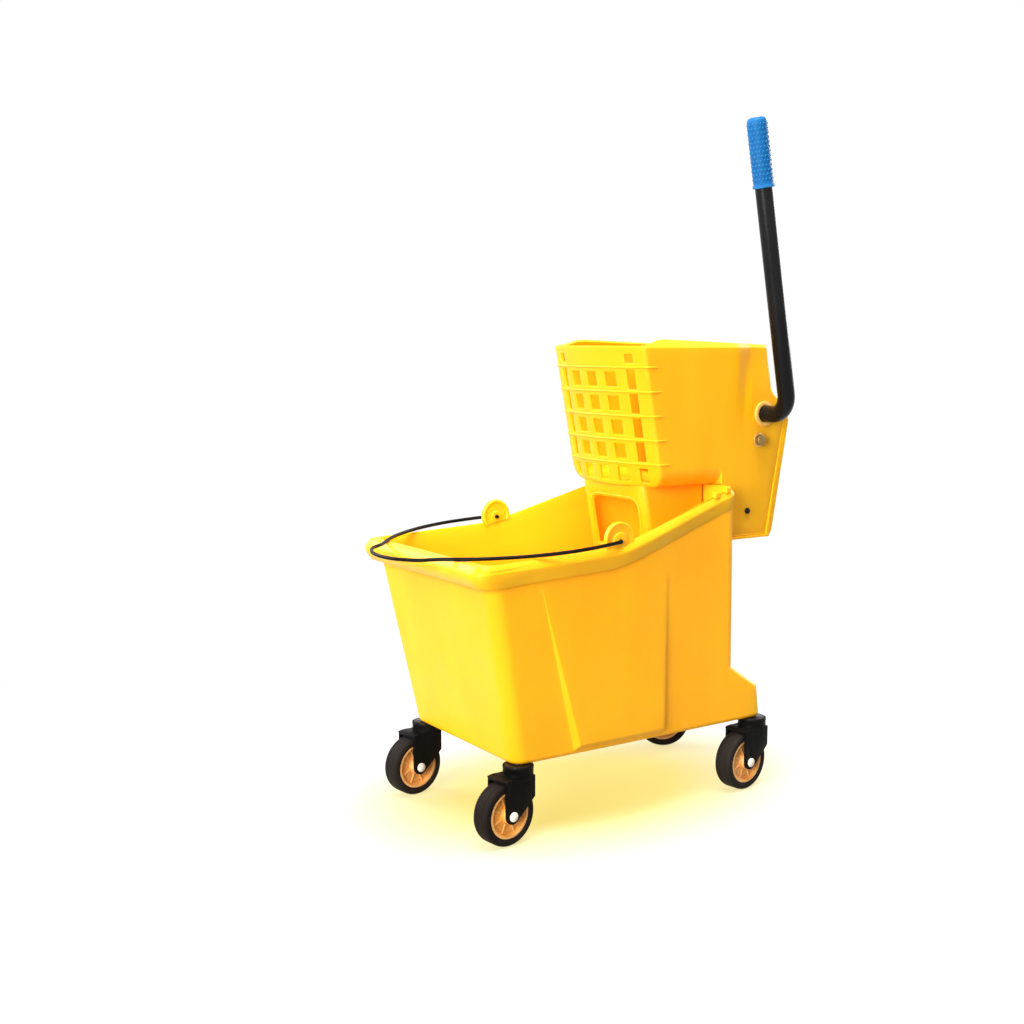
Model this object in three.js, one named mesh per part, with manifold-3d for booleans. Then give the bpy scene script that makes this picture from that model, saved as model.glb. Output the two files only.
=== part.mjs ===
// Mop bucket on four casters with a side-press wringer.
// Frame: +X is the rear (wringer end), -Y the near side (lever side), +Z up, floor at z = 0.
// Lengths are millimetres and angles are degrees.
import * as THREE from 'three';
import { mergeVertices } from 'three/addons/utils/BufferGeometryUtils.js';
import Module from 'manifold-3d';

const wasm = await Module();
wasm.setup();

// ---------------------------------------------------------------- driving dimensions

// Clearances
const seatGap = 0.3; // between pieces that touch
const runGap = 0.4; // radial, round a turning pin
const slideGap = 1; // beside a piece that slides or lifts out
const cutOver = 5; // how far a cutter runs past the face it cuts

// Casters
const wheelRadius = 37.5;
const treadWidth = 25;
const tyreThickness = 9;
const hubDish = 4.5;
const hubBossRadius = 9;
const casterTrail = 22;
const forkWall = 3.6;
const forkSideGap = 1.6;
const wheelTopGap = 2.5;
const hoodAngle = 104; // where the hood over the wheel ends
const forkHeel = 11.5; // from the swivel axis to the fork's rear edge
const forkHeelRise = 18; // how far above the axle that edge starts
const forkNeck = 10; // from the axle to the fork's front edge
const forkNeckRise = 22;
const forkToeRadius = 9.5;
const collarHeight = 7.5;
const racePlate = 3;
const stemRadius = 5.5;
const stemLength = 26;
const axleRadius = 4;
const axleCapRadius = 5.2;
const axleCapHeight = 1.8;
const frontCasterInset = 11; // behind the front edge of the tub's floor
const rearCasterInset = 11.5; // ahead of its rear edge
const casterHalfTrack = 109;
const casterHeadings = { front_near: 7, front_far: 7, rear_near: 7, rear_far: 138 };

// Bucket
const wall = 3;
const floorThickness = 4;
const tubRearX = 224.5; // the wringer hangs at the rear, so the front follows the length
const tubFloorLength = 393;
const tubFloorHalf = 119.7;
const tubTopHalf = 137.9;
const tubRearHalf = 121.5;
const tubFrontLean = 48.5; // how far the front wall leans out from floor to rim
const tubEdgeRound = 6;
const footHeight = 42;
const footSlopeHeight = 31;
const footDepth = 52;
const footLean = 6;
const rearWallLean = 6.7;
const rimFrontZ = 334.5;
const rimSlope = 0.038;
const rimSweep = 51.69; // extra height that the rim has gained at its rear
const rimSweepStartX = -34;
const rimSweepEase = 14; // how softly the climb sets in
const rimHalf = 142.8;
const rimRearHalf = 124;
const rimTaperX = -30;
const rimOverhang = 15; // past the front wall
const rimRearOverhang = 1.7;
const rimSkirt = 26;
const skirtOpenX = 60; // behind this the skirt closes on the tub
const rimTop = 5;
const rimRound = 4;
const tubCornerRadius = 18;
const rimCornerRadius = 18;
const rimLeastRadius = 1; // of the corners drawn inside the rim's edge
const rimLand = 24; // width of the rim before the tub's mouth is cut
const tubRearRadius = 14;
const panelProud = 8.5;
const panelTopInset = 25.5; // from the tub's front edge to the panel's
const panelBottomInset = 80.8;
const panelRearX = 47;
const panelTopZ = 304;
const panelBottomZ = 106.5;
const socketRadius = 12.5;
const lugSize = [8, 7, 5];
const lugXs = [132, 151];

// Bail and its ears
const bailX = -32.5;
const bailZ = 349;
const wireRadius = 2.2;
const earRadius = 21;
const earThickness = 6;
const earOutset = 1; // past the tub wall's outer face
const earRise = 2; // ear centre above the pivot
const earRingRadius = 11;
const earRingProud = 0.8;
const bailOverhang = 46.5; // how far the bail reaches past the front of the rim
const bailSideGap = 1; // between the wire and the ear's ring
const bailSpread = 5.4; // how much wider the bail grows past its ears
const bailBend = 3.2; // radius of the bends at the ears
const bailTipInset = 9; // how far a tip reaches in past the ear's outer face

// Wringer basket
const basketFrontX = 34; // front corners at the top
const basketTopZ = 578;
const basketLean = 0.1834; // forward lean of the front, mm per mm of height
const basketBow = 15; // how far the grille bows forward at its middle
const basketHalf = 95.3;
const basketLowHalf = 93;
const basketCorner = 5;
const basketArch = 8;
const basketArchX = 72;
const bellyRound = 17; // rounding of the lower side edges
const basketLip = 9;
const basketLipInset = 2.6;
const grilleWall = 4;
const grilleHole = 19;
const grilleColumnPitch = 36;
const grilleColumns = 3;
const grilleRows = 5;
const grilleRowPitch = 30.2;
const grilleTopRowZ = 536.5;
const sideSlotY = 69.5;
const sideSlotWidth = 12.5;
const sideSlotHeight = 25;
const ribHeight = 2.4;
const ribProud = 1.2;
const ribWrap = 14; // how far a rib runs round the corner
const valleyX = 190;
const valleyHalfLength = 24;
const valleyDepth = 6;
const valleyBottomZ = 450;
const drainSlot = [60, 6];
const drainPitch = 14;
const drainRows = 5;
const floorRim = 12; // plain border between the drain slots and the basket's front

// Hook, lower frame and housing
const hookGap = 0.4; // basket floor over the bucket's rear rim
const frameHalf = 65;
const frameFrontX = 60;
const frameBottomZ = 300;
const windowHalf = 47;
const windowTopZ = 382;
const windowBottomZ = 318;
const windowRound = 12;
const housingBottomZ = 331;
const coverTopZ = 492;
const coverBulgeZ = 480;
const coverBulgeX = 280.5;
const coverFootX = 254.5;
const coverFootZ = 336;
const coverShoulderX = 276.5;
const coverLip = 9;
const basketRearTopX = 244.5;
const basketRearLowX = 251;
const basketRearLowZ = 524;

// Lever
const shaftX = 235.5;
const shaftZ = 490;
const tubeRadius = 11;
const tubeWall = 2;
const leverLean = 10.4;
const leverY = -139;
const leverLength = 370;
const leverBend = 28;
const gripLength = 85;
const gripRadius = 13;
const bushFlangeRadius = 16.5;
const bushFlange = 3;
const bushWall = 2.2;
const clipRadius = 15;
const clipThickness = 2;

// Linkage: two cranks on the shaft and two parallel followers carry the press plate
const linkLength = 50;
const linkRestAngle = 25.5; // behind straight down
const followerOffsetX = -8;
const followerOffsetZ = -34;
const linkEndRadius = 9;
const linkPinRadius = 4;
const crankHubRadius = 17;
const crankHubWidth = 14;
const crankThickness = 8;
const crankY = 43;
const crossPinRadius = 3;
const followerThickness = 5.5;
const followerY = 59.2;
const bracketThickness = 5.5;
const bracketY = 35.6;
const boltRadius = 4;
const boltHeadRadius = 7.4;
const boltHeadHeight = 5.2;
const nutHeight = 6;
const washerRadius = 9.2;
const washerThickness = 1.6;
const bossRadius = 9;
const pinHeadRadius = 6;
const pinHeadHeight = 2.6;

// Press plate
const plateFaceX = 172; // at shaft height
const plateThickness = 5;
const plateBottomZ = 412;
const plateTopZ = 560;
const plateHalf = 83;
const plateLowHalf = 64;
const plateChamferZ = 432;
const plateRibDepth = 8;
const plateRibThickness = 4;
const plateRibPitch = 37;

// Spring, buffers and lower screws
const springWire = 1.3;
const springRadius = 14;
const springTurns = 5;
const springEndHalf = 52;
const springLength = 34;
const bufferRadius = 9;
const screwX = 211;
const screwZ = 364;
const screwRadius = 2.5;
const screwHeadRadius = 4;
const screwHeadHeight = 2.2;
const screwLength = 16;
const armThickness = 4;
const armHalfHeight = 12;
const coverToe = 5; // how far the cover's foot is drawn in at the bottom
const gripTopWall = 4;
const plugDepth = 14;
const boltStickOut = 1.2; // past the nut
const bracketTopZ = 466;
const stemHeadRadius = 8;
const stemHeadHeight = 2.5;

// ---------------------------------------------------------------- derived places

const forkHalf = treadWidth / 2 + forkSideGap + forkWall;
const collarTopZ = 2 * wheelRadius + wheelTopGap + forkWall + collarHeight;
const stemHeadZ = collarTopZ - collarHeight - 2 * stemHeadHeight;
const racePlateZ = collarTopZ + 2 * seatGap;
const tubZ = racePlateZ + racePlate + seatGap;
const tubFrontX = tubRearX - tubFloorLength;
const frontCasterX = tubFrontX + frontCasterInset;
const rearCasterX = tubRearX - rearCasterInset;
const panelFrontTopX = tubFrontX + panelTopInset;
const panelFrontBottomX = tubFrontX + panelBottomInset;
const footTopZ = tubZ + footHeight;
const rearWallLowZ = footTopZ + footSlopeHeight;
const rearWallLowX = tubRearX - footDepth;
const rearWallTopX = rearWallLowX - rearWallLean;
const rimFrontX = tubFrontX - tubFrontLean - rimOverhang;
const bailReach = bailX - rimFrontX + bailOverhang;
const rimRearX = rearWallTopX + rimRearOverhang;
const rearRimZ = rimHeight(rimRearX);
const basketFloorZ = rearRimZ + hookGap;
const basketFloorTopZ = basketFloorZ + wall + 0.5;
const hookInnerX = rearWallTopX - wall - slideGap;
const housingFrontX = rimRearX + slideGap;
const bailDroop = THREE.MathUtils.radToDeg(
  Math.atan((bailZ - wireRadius - seatGap - rimFrontZ) / (bailX - rimFrontX)));
const followerX = shaftX + followerOffsetX;
const followerZ = shaftZ + followerOffsetZ;
const linkRest = THREE.MathUtils.degToRad(linkRestAngle);
const linkRunX = linkLength * Math.sin(linkRest);
const linkDropZ = linkLength * Math.cos(linkRest);
const crankPinX = shaftX + linkRunX;
const crankPinZ = shaftZ - linkDropZ;
const lowerPinX = followerX + linkRunX;
const lowerPinZ = followerZ - linkDropZ;
const earHalf = tubTopHalf + earOutset;
const bailPivotHalf = earHalf + earRingProud + bailSideGap + wireRadius;
const bailHalf = bailPivotHalf + bailSpread;
const bailTipHalf = earHalf - bailTipInset;
const housingInner = basketLowHalf - wall;
const shaftEndY = sideFace(shaftZ) + bushFlange + 2 * seatGap + clipThickness + slideGap;

// ---------------------------------------------------------------- geometry helpers

function smooth(t) {
  const u = Math.min(Math.max(t, 0), 1);
  return u * u * (3 - 2 * u);
}

function mix(a, b, t) {
  return a + (b - a) * t;
}

function rimHeight(x) {
  const climb = (at) => at - rimSweepStartX + Math.hypot(at - rimSweepStartX, rimSweepEase);
  const level = rimFrontZ + rimSlope * (x - rimFrontX);
  return level + (rimSweep * climb(x)) / climb(rimRearX);
}

// Outer face of the wringer's flat side plates.
function sideFace(z) {
  return mix(basketLowHalf, basketHalf, (z - basketFloorZ) / (basketTopZ - basketFloorZ));
}

function toManifold(geometry) {
  const bare = geometry.clone();
  bare.deleteAttribute('normal');
  bare.deleteAttribute('uv');
  const merged = mergeVertices(bare, 1e-4);
  return new wasm.Manifold(new wasm.Mesh({
    numProp: 3,
    vertProperties: Float32Array.from(merged.attributes.position.array),
    triVerts: Uint32Array.from(merged.index.array),
  }));
}

function toGeometry(manifold) {
  const mesh = manifold.getMesh();
  const geometry = new THREE.BufferGeometry();
  geometry.setAttribute('position', new THREE.BufferAttribute(mesh.vertProperties, 3));
  geometry.setIndex(new THREE.BufferAttribute(mesh.triVerts, 1));
  return geometry;
}

function join(first, ...others) {
  return toGeometry(others.reduce((sum, other) => sum.add(toManifold(other)), toManifold(first)));
}

function cut(first, ...others) {
  return toGeometry(
    others.reduce((rest, other) => rest.subtract(toManifold(other)), toManifold(first)));
}

function common(first, second) {
  return toGeometry(toManifold(first).intersect(toManifold(second)));
}

// A closed solid through a row of closed rings that all have the same number of points.
function loft(rings) {
  const count = rings[0].length;
  const position = rings.flat().flatMap((point) => [point.x, point.y, point.z]);
  const index = [];
  for (let ring = 0; ring + 1 < rings.length; ring += 1) {
    for (let i = 0; i < count; i += 1) {
      const a = ring * count + i;
      const b = ring * count + ((i + 1) % count);
      index.push(a, b, b + count, a, b + count, a + count);
    }
  }
  for (const [ring, turned] of [[0, true], [rings.length - 1, false]]) {
    const middle = new THREE.Vector3();
    rings[ring].forEach((point) => middle.addScaledVector(point, 1 / count));
    const hub = position.length / 3;
    position.push(middle.x, middle.y, middle.z);
    for (let i = 0; i < count; i += 1) {
      const a = ring * count + i;
      const b = ring * count + ((i + 1) % count);
      index.push(hub, turned ? b : a, turned ? a : b);
    }
  }
  const geometry = new THREE.BufferGeometry();
  geometry.setAttribute('position', new THREE.Float32BufferAttribute(position, 3));
  geometry.setIndex(index);
  return geometry;
}

// A plan outline, counter-clockwise from above, with rounded corners and a bowed front.
function outline(plan, height) {
  const { front, rear, half, rearHalf = half, taperX = front, bow = 0, valley = 0 } = plan;
  const { frontRadius, rearRadius, cornerSteps = 4, sideSteps = 10, frontSteps = 1 } = plan;
  const halfAt = (x) => mix(half, rearHalf, smooth((x - taperX) / (rear - taperX)));
  const side = [];
  const frontArcY = halfAt(front + frontRadius) - frontRadius;
  for (let i = 0; i <= cornerSteps; i += 1) {
    const angle = (Math.PI / 2) * (i / cornerSteps);
    side.push([
      front + frontRadius * (1 - Math.cos(angle)),
      frontArcY + frontRadius * Math.sin(angle),
    ]);
  }
  for (let i = 1; i < sideSteps; i += 1) {
    const x = mix(front + frontRadius, rear - rearRadius, i / sideSteps);
    const dip = Math.max(0, 1 - Math.abs(x - valleyX) / valleyHalfLength);
    side.push([x, halfAt(x) - valley * smooth(dip)]);
  }
  const rearArcY = halfAt(rear - rearRadius) - rearRadius;
  for (let i = 0; i <= cornerSteps; i += 1) {
    const angle = (Math.PI / 2) * (i / cornerSteps);
    side.push([
      rear - rearRadius * (1 - Math.sin(angle)),
      rearArcY + rearRadius * Math.cos(angle),
    ]);
  }
  const near = side.map(([x, y]) => [x, -y]);
  const far = side.map(([x, y]) => [x, y]).reverse();
  const frontEdge = [];
  for (let i = 1; i < frontSteps; i += 1) {
    const share = 1 - (2 * i) / frontSteps;
    frontEdge.push([front - bow * (1 - share ** 2), frontArcY * share]);
  }
  return [...near, ...far, ...frontEdge].map(([x, y]) => new THREE.Vector3(x, y, height(x)));
}

function box(x0, x1, y0, y1, z0, z1) {
  const geometry = new THREE.BoxGeometry(x1 - x0, y1 - y0, z1 - z0);
  return geometry.translate((x0 + x1) / 2, (y0 + y1) / 2, (z0 + z1) / 2);
}

// A round bar along Y.
function barY(x, z, radius, y0, y1, segments = 14) {
  const geometry = new THREE.CylinderGeometry(radius, radius, Math.abs(y1 - y0), segments);
  return geometry.translate(x, (y0 + y1) / 2, z);
}

// A round bar along Z.
function barZ(x, y, radius, z0, z1, segments = 14) {
  const geometry = new THREE.CylinderGeometry(radius, radius, z1 - z0, segments);
  return geometry.rotateX(Math.PI / 2).translate(x, y, (z0 + z1) / 2);
}

// A plate drawn in X and Z, between two values of Y.
function plateXZ(shape, y0, y1, curveSegments = 4) {
  const depth = Math.abs(y1 - y0);
  const geometry = new THREE.ExtrudeGeometry(shape, { depth, bevelEnabled: false, curveSegments });
  return geometry.rotateX(Math.PI / 2).translate(0, Math.max(y0, y1), 0);
}

function polygon(points) {
  return new THREE.Shape(points.map(([x, z]) => new THREE.Vector2(x, z)));
}

// A link plate: two round ends of one radius, joined by their tangents.
function linkShape(x0, z0, x1, z1, radius0, radius1) {
  const along = Math.atan2(z1 - z0, x1 - x0);
  const shape = new THREE.Shape();
  shape.absarc(x0, z0, radius0, along + Math.PI / 2, along + (3 * Math.PI) / 2);
  shape.absarc(x1, z1, radius1, along - Math.PI / 2, along + Math.PI / 2);
  shape.closePath();
  return shape;
}

function piece(name, geometry, material) {
  const mesh = new THREE.Mesh(geometry, material());
  mesh.name = name;
  return mesh;
}

// ---------------------------------------------------------------- materials

const plastic = (color, roughness) => () =>
  new THREE.MeshStandardMaterial({ color, roughness, metalness: 0 });
const metal = (color, roughness) => () =>
  new THREE.MeshStandardMaterial({ color, roughness, metalness: 1 });

const yellowPlastic = plastic(0xffc21e, 0.42);
const blackNylon = plastic(0x141312, 0.5);
const hubPlastic = plastic(0xd98a2b, 0.45);
const tyreRubber = plastic(0x1b1917, 0.75);
const blueVinyl = plastic(0x0f74b8, 0.55);
const blackPaint = plastic(0x0d0d0e, 0.3);
const naturalNylon = plastic(0xe8cf8a, 0.5);
const zincSteel = metal(0xb9b4a8, 0.35);
const springSteel = metal(0x8f9296, 0.3);
const blackWire = plastic(0x121212, 0.4);

// ---------------------------------------------------------------- bucket

// The tub's plan at a height, drawn in from its outer face.
function tubPlan(z, inset) {
  const rise = (z - tubZ) / (rimFrontZ - tubZ);
  const rearRise = (z - rearWallLowZ) / (rearRimZ - rearWallLowZ);
  const foot = z <= footTopZ
    ? mix(tubRearX, tubRearX - footLean, (z - tubZ) / footHeight)
    : mix(tubRearX - footLean, rearWallLowX, Math.min(1, (z - footTopZ) / footSlopeHeight));
  const rear = z <= rearWallLowZ ? foot : mix(rearWallLowX, rearWallTopX, Math.min(1, rearRise));
  return {
    front: tubFrontX - tubFrontLean * Math.min(1, rise) + inset,
    rear: rear - inset,
    half: mix(tubFloorHalf, tubTopHalf, Math.min(1, rise)) - inset,
    rearHalf: mix(tubFloorHalf - 2, tubRearHalf, Math.min(1, rise)) - inset,
    taperX: rimTaperX,
    frontRadius: tubCornerRadius - inset,
    rearRadius: tubRearRadius - inset,
  };
}

function tubRings(inset, bottomZ, topDrop) {
  const rings = [outline(tubPlan(bottomZ, inset + tubEdgeRound), () => bottomZ)];
  const middleZ = (rearWallLowZ + rimFrontZ - rimSkirt) / 2;
  for (const z of [bottomZ + tubEdgeRound, footTopZ, rearWallLowZ, middleZ]) {
    rings.push(outline(tubPlan(z, inset), () => z));
  }
  const top = { ...tubPlan(rimFrontZ, inset), rear: rearWallTopX - inset };
  rings.push(outline(top, (x) => rimHeight(x) - topDrop));
  return rings;
}

function rimPlan(inset) {
  return {
    front: rimFrontX + inset,
    rear: rimRearX - inset,
    half: rimHalf - inset,
    rearHalf: rimRearHalf - inset,
    taperX: rimTaperX,
    frontRadius: Math.max(rimLeastRadius, rimCornerRadius - inset),
    rearRadius: tubRearRadius - inset,
  };
}

function rimSolid() {
  const solid = loft([
    outline(rimPlan(0), (x) => rimHeight(x) - rimSkirt),
    outline(rimPlan(0), (x) => rimHeight(x) - rimRound),
    outline(rimPlan(rimRound * 0.3), (x) => rimHeight(x) - rimRound * 0.3),
    outline(rimPlan(rimRound), rimHeight),
    outline(rimPlan(rimLand), rimHeight),
  ]);
  const hollow = loft([
    outline(rimPlan(wall), (x) => rimHeight(x) - rimSkirt - cutOver),
    outline(rimPlan(wall), (x) => rimHeight(x) - rimTop),
    outline(rimPlan(rimLand), (x) => rimHeight(x) - rimTop),
  ]);
  const openLength = box(rimFrontX, skirtOpenX, -rimHalf, rimHalf, 0, 2 * rearRimZ);
  return cut(solid, common(hollow, openLength));
}

// A raised label panel on one side wall, flush at its top edge and proud at its foot.
function sidePanel(side) {
  const wallHalf = (z) => mix(tubFloorHalf, tubTopHalf, (z - tubZ) / (rimFrontZ - tubZ));
  const ring = (z, proud, frontX) => {
    const outer = wallHalf(z) + proud;
    const inner = tubRearHalf - 3 * wall;
    const corners = side > 0
      ? [[frontX, inner], [panelRearX, inner], [panelRearX, outer], [frontX + proud, outer]]
      : [[frontX + proud, -outer], [panelRearX, -outer], [panelRearX, -inner], [frontX, -inner]];
    return corners.map(([x, y]) => new THREE.Vector3(x, y, z));
  };
  return loft([
    ring(panelBottomZ - panelProud, 0.01, panelFrontBottomX),
    ring(panelBottomZ, panelProud, panelFrontBottomX),
    ring(panelTopZ, 0.01, panelFrontTopX),
  ]);
}

function earSolid(side) {
  const centreZ = bailZ + earRise;
  const shape = new THREE.Shape();
  shape.absarc(bailX, centreZ, earRadius, 0, Math.PI);
  shape.lineTo(bailX - earRadius, rimHeight(bailX - earRadius) - rimTop / 2);
  shape.lineTo(bailX + earRadius, rimHeight(bailX + earRadius) - rimTop / 2);
  shape.closePath();
  const plate = plateXZ(shape, side * (earHalf - earThickness), side * earHalf);
  const ring = barY(
    bailX, bailZ, earRingRadius, side * (earHalf - 1), side * (earHalf + earRingProud), 24);
  return join(plate, ring);
}

function bucketShell() {
  const lugs = [];
  const sockets = [];
  const bores = [];
  for (const side of [-1, 1]) {
    for (const x of lugXs) {
      const [length, width, height] = lugSize;
      const y = side * (rimPlanHalf(x) - width / 2 - 1);
      const z = rimHeight(x);
      lugs.push(box(x - length / 2, x + length / 2, y - width / 2, y + width / 2, z - 4, z + height));
    }
    for (const x of [frontCasterX, rearCasterX]) {
      const y = side * casterHalfTrack;
      sockets.push(barZ(x, y, socketRadius, tubZ, tubZ + stemLength + floorThickness));
      bores.push(barZ(x, y, stemRadius + seatGap, tubZ - cutOver, tubZ + stemLength + seatGap, 12));
    }
    bores.push(barY(bailX, bailZ, wireRadius + runGap, side * (bailTipHalf - 2), side * bailHalf, 12));
  }
  const outside = join(loft(tubRings(0, tubZ, rimTop - 0.2)), rimSolid(), sidePanel(-1), sidePanel(1));
  const cavity = loft([
    ...tubRings(wall, tubZ + floorThickness, rimTop),
    outline({ ...tubPlan(rimFrontZ, wall), rear: rearWallTopX - wall }, (x) => rimHeight(x) + 40),
  ]);
  const insideSockets = common(join(...sockets), loft(tubRings(1, tubZ, rimTop)));
  const shell = join(cut(outside, cavity), insideSockets, earSolid(-1), earSolid(1), ...lugs);
  return cut(shell, ...bores);
}

function rimPlanHalf(x) {
  return mix(rimHalf, rimRearHalf, smooth((x - rimTaperX) / (rimRearX - rimTaperX)));
}

// ---------------------------------------------------------------- casters

// Caster parts are drawn about the swivel axis, with the wheel trailing toward -X.
function casterMount() {
  const plate = barZ(0, 0, forkHalf - slideGap, racePlateZ, racePlateZ + racePlate, 16);
  const stem = barZ(0, 0, stemRadius, stemHeadZ, tubZ + stemLength, 12);
  const head = barZ(0, 0, stemHeadRadius, stemHeadZ, stemHeadZ + stemHeadHeight, 14);
  return join(plate, stem, head);
}

function casterFork() {
  const cavityRadius = wheelRadius + wheelTopGap;
  const hoodRadius = cavityRadius + forkWall;
  const hoodEnd = THREE.MathUtils.degToRad(hoodAngle);
  const hoodInner = cavityRadius + runGap;
  const shape = new THREE.Shape();
  shape.moveTo(forkHeel, wheelRadius + forkHeelRise);
  shape.lineTo(forkHeel, collarTopZ - collarHeight);
  shape.absarc(-casterTrail, wheelRadius, hoodRadius, Math.PI / 2.2, hoodEnd);
  shape.lineTo(
    -casterTrail + hoodInner * Math.cos(hoodEnd), wheelRadius + hoodInner * Math.sin(hoodEnd));
  shape.lineTo(-casterTrail - forkNeck, wheelRadius + forkNeckRise);
  shape.absarc(-casterTrail, wheelRadius, forkToeRadius, Math.PI * 0.95, Math.PI * 1.72);
  shape.closePath();
  const cheeks = plateXZ(shape, -forkHalf, forkHalf, 3);
  const collar = barZ(0, 0, forkHalf, collarTopZ - collarHeight - 6, collarTopZ, 20);
  const wheelSpace = treadWidth / 2 + forkSideGap;
  return cut(
    join(cheeks, collar),
    barY(-casterTrail, wheelRadius, cavityRadius, -wheelSpace, wheelSpace, 26),
    barZ(0, 0, stemRadius + runGap, 0, collarTopZ + cutOver, 12),
    barZ(0, 0, stemHeadRadius + runGap, 0, stemHeadZ + stemHeadHeight + seatGap, 14),
    barY(-casterTrail, wheelRadius, axleRadius + seatGap, -forkHalf - 1, forkHalf + 1, 12),
  );
}

function axleBar() {
  const end = forkHalf + seatGap;
  return join(
    barY(0, 0, axleRadius, -end - 1, end + 1, 12),
    barY(0, 0, axleCapRadius, -end - axleCapHeight, -end, 12),
    barY(0, 0, axleCapRadius, end, end + axleCapHeight, 12),
  );
}

function turned(points, segments) {
  const profile = points.map(([radius, y]) => new THREE.Vector2(radius, y));
  return new THREE.LatheGeometry(profile, segments);
}

function wheelHub() {
  const half = treadWidth / 2 - 1;
  const rim = wheelRadius - tyreThickness - seatGap;
  const bore = axleRadius + runGap;
  const bossHalf = treadWidth / 2 + forkSideGap - slideGap / 2;
  return turned([
    [bore, -bossHalf], [hubBossRadius, -bossHalf], [hubBossRadius + 1.5, -half + hubDish],
    [rim - 4, -half + hubDish], [rim - 3, -half], [rim, -half],
    [rim, half], [rim - 3, half], [rim - 4, half - hubDish],
    [hubBossRadius + 1.5, half - hubDish], [hubBossRadius, bossHalf], [bore, bossHalf],
    [bore, -bossHalf],
  ], 20);
}

function wheelTyre() {
  const half = treadWidth / 2;
  const inner = wheelRadius - tyreThickness;
  const shoulder = 4;
  return turned([
    [inner, -half], [wheelRadius - shoulder, -half], [wheelRadius, -half + shoulder],
    [wheelRadius, half - shoulder], [wheelRadius - shoulder, half], [inner, half],
    [inner, -half],
  ], 28);
}

function caster(place, x, y) {
  const group = new THREE.Group();
  group.position.set(x, y, 0);
  group.rotation.z = THREE.MathUtils.degToRad(casterHeadings[place]);
  const wheel = new THREE.Group();
  wheel.position.set(-casterTrail, 0, wheelRadius);
  wheel.add(
    piece(`caster_axle_${place}`, axleBar(), zincSteel),
    piece(`wheel_hub_${place}`, wheelHub(), hubPlastic),
    piece(`wheel_tyre_${place}`, wheelTyre(), tyreRubber),
  );
  group.add(
    piece(`caster_mount_${place}`, casterMount(), blackPaint),
    piece(`caster_fork_${place}`, casterFork(), blackNylon),
    wheel,
  );
  return group;
}

// ---------------------------------------------------------------- bail

// Half of the wire in its own plane: forward reach and half width, from the pivot to the front.
function bailHalfPath() {
  const bend = bailBend;
  const shares = [
    [0.14, 0.993], [0.28, 1], [0.42, 0.957], [0.54, 0.88], [0.63, 0.795], [0.7, 0.715],
    [0.77, 0.605], [0.835, 0.485], [0.88, 0.43], [0.92, 0.385], [0.955, 0.3], [0.988, 0.165],
  ];
  return [
    [0, bailTipHalf], [0, bailPivotHalf - bend], [bend / 3, bailPivotHalf - bend * 0.3],
    [bend, bailPivotHalf], [bend * 2.2, bailPivotHalf + bend * 0.15],
    ...shares.map(([reach, half]) => [reach * bailReach, half * bailHalf]),
  ];
}

function bailWire() {
  const half = bailHalfPath();
  const points = [
    ...half.map(([reach, y]) => new THREE.Vector3(-reach, -y, 0)),
    new THREE.Vector3(-bailReach, 0, 0),
    ...half.map(([reach, y]) => new THREE.Vector3(-reach, y, 0)).reverse(),
  ];
  const path = new THREE.CatmullRomCurve3(points, false, 'centripetal');
  // Steps are spread by the points, so that they fall closer together in the bends.
  path.getPointAt = path.getPoint;
  path.getTangentAt = path.getTangent;
  const ring = new THREE.Shape();
  ring.absarc(0, 0, wireRadius, 0, 2 * Math.PI);
  return new THREE.ExtrudeGeometry(ring, {
    extrudePath: path, steps: 2 * (points.length - 1), curveSegments: 4, bevelEnabled: false,
  });
}

function bail() {
  const group = new THREE.Group();
  group.position.set(bailX, 0, bailZ);
  group.rotation.y = -THREE.MathUtils.degToRad(bailDroop);
  group.add(piece('bail_wire', bailWire(), blackWire));
  return group;
}

// ---------------------------------------------------------------- wringer body

// Outer face of the housing's rear: straight down the cover, then in to the basket's rear wall.
function rearFace(z) {
  if (z >= basketRearLowZ) {
    return mix(basketRearLowX, basketRearTopX, (z - basketRearLowZ) / (basketTopZ - basketRearLowZ));
  }
  if (z >= coverTopZ) {
    return mix(coverShoulderX, basketRearLowX, smooth((z - coverTopZ) / (basketRearLowZ - coverTopZ)));
  }
  return coverFace(z) - coverLip - seatGap;
}

function coverFace(z) {
  if (z >= coverBulgeZ) {
    return mix(coverBulgeX, coverShoulderX, (z - coverBulgeZ) / (coverTopZ - coverBulgeZ));
  }
  return mix(coverFootX, coverBulgeX, (z - coverFootZ) / (coverBulgeZ - coverFootZ));
}

function basketFront(z) {
  return basketFrontX + (basketTopZ - z) * basketLean;
}

function basketHalfAt(z) {
  const belly = Math.max(0, 1 - (z - basketFloorZ) / (bellyRound * 1.3));
  return sideFace(z) - bellyRound * (1 - Math.sqrt(1 - 0.99 * belly * belly));
}

function basketPlan(z, inset, extra = 0) {
  return {
    front: basketFront(z) + inset * (grilleWall / wall),
    rear: rearFace(z) - inset,
    half: basketHalfAt(z) - inset - extra,
    bow: basketBow,
    valley: valleyDepth * smooth((z - valleyBottomZ) / (basketTopZ - valleyBottomZ)),
    frontRadius: basketCorner - inset * 0.6,
    rearRadius: basketCorner - inset * 0.6,
    cornerSteps: 2,
    sideSteps: 12,
    frontSteps: grilleColumns + 2,
  };
}

function archHeight(x) {
  const rise = smooth((x - basketFrontX) / (basketArchX - basketFrontX));
  const fall = 1 - 0.85 * Math.max(0, (x - basketArchX) / (basketRearTopX - basketArchX));
  return basketTopZ + basketArch * rise * fall;
}

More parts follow.
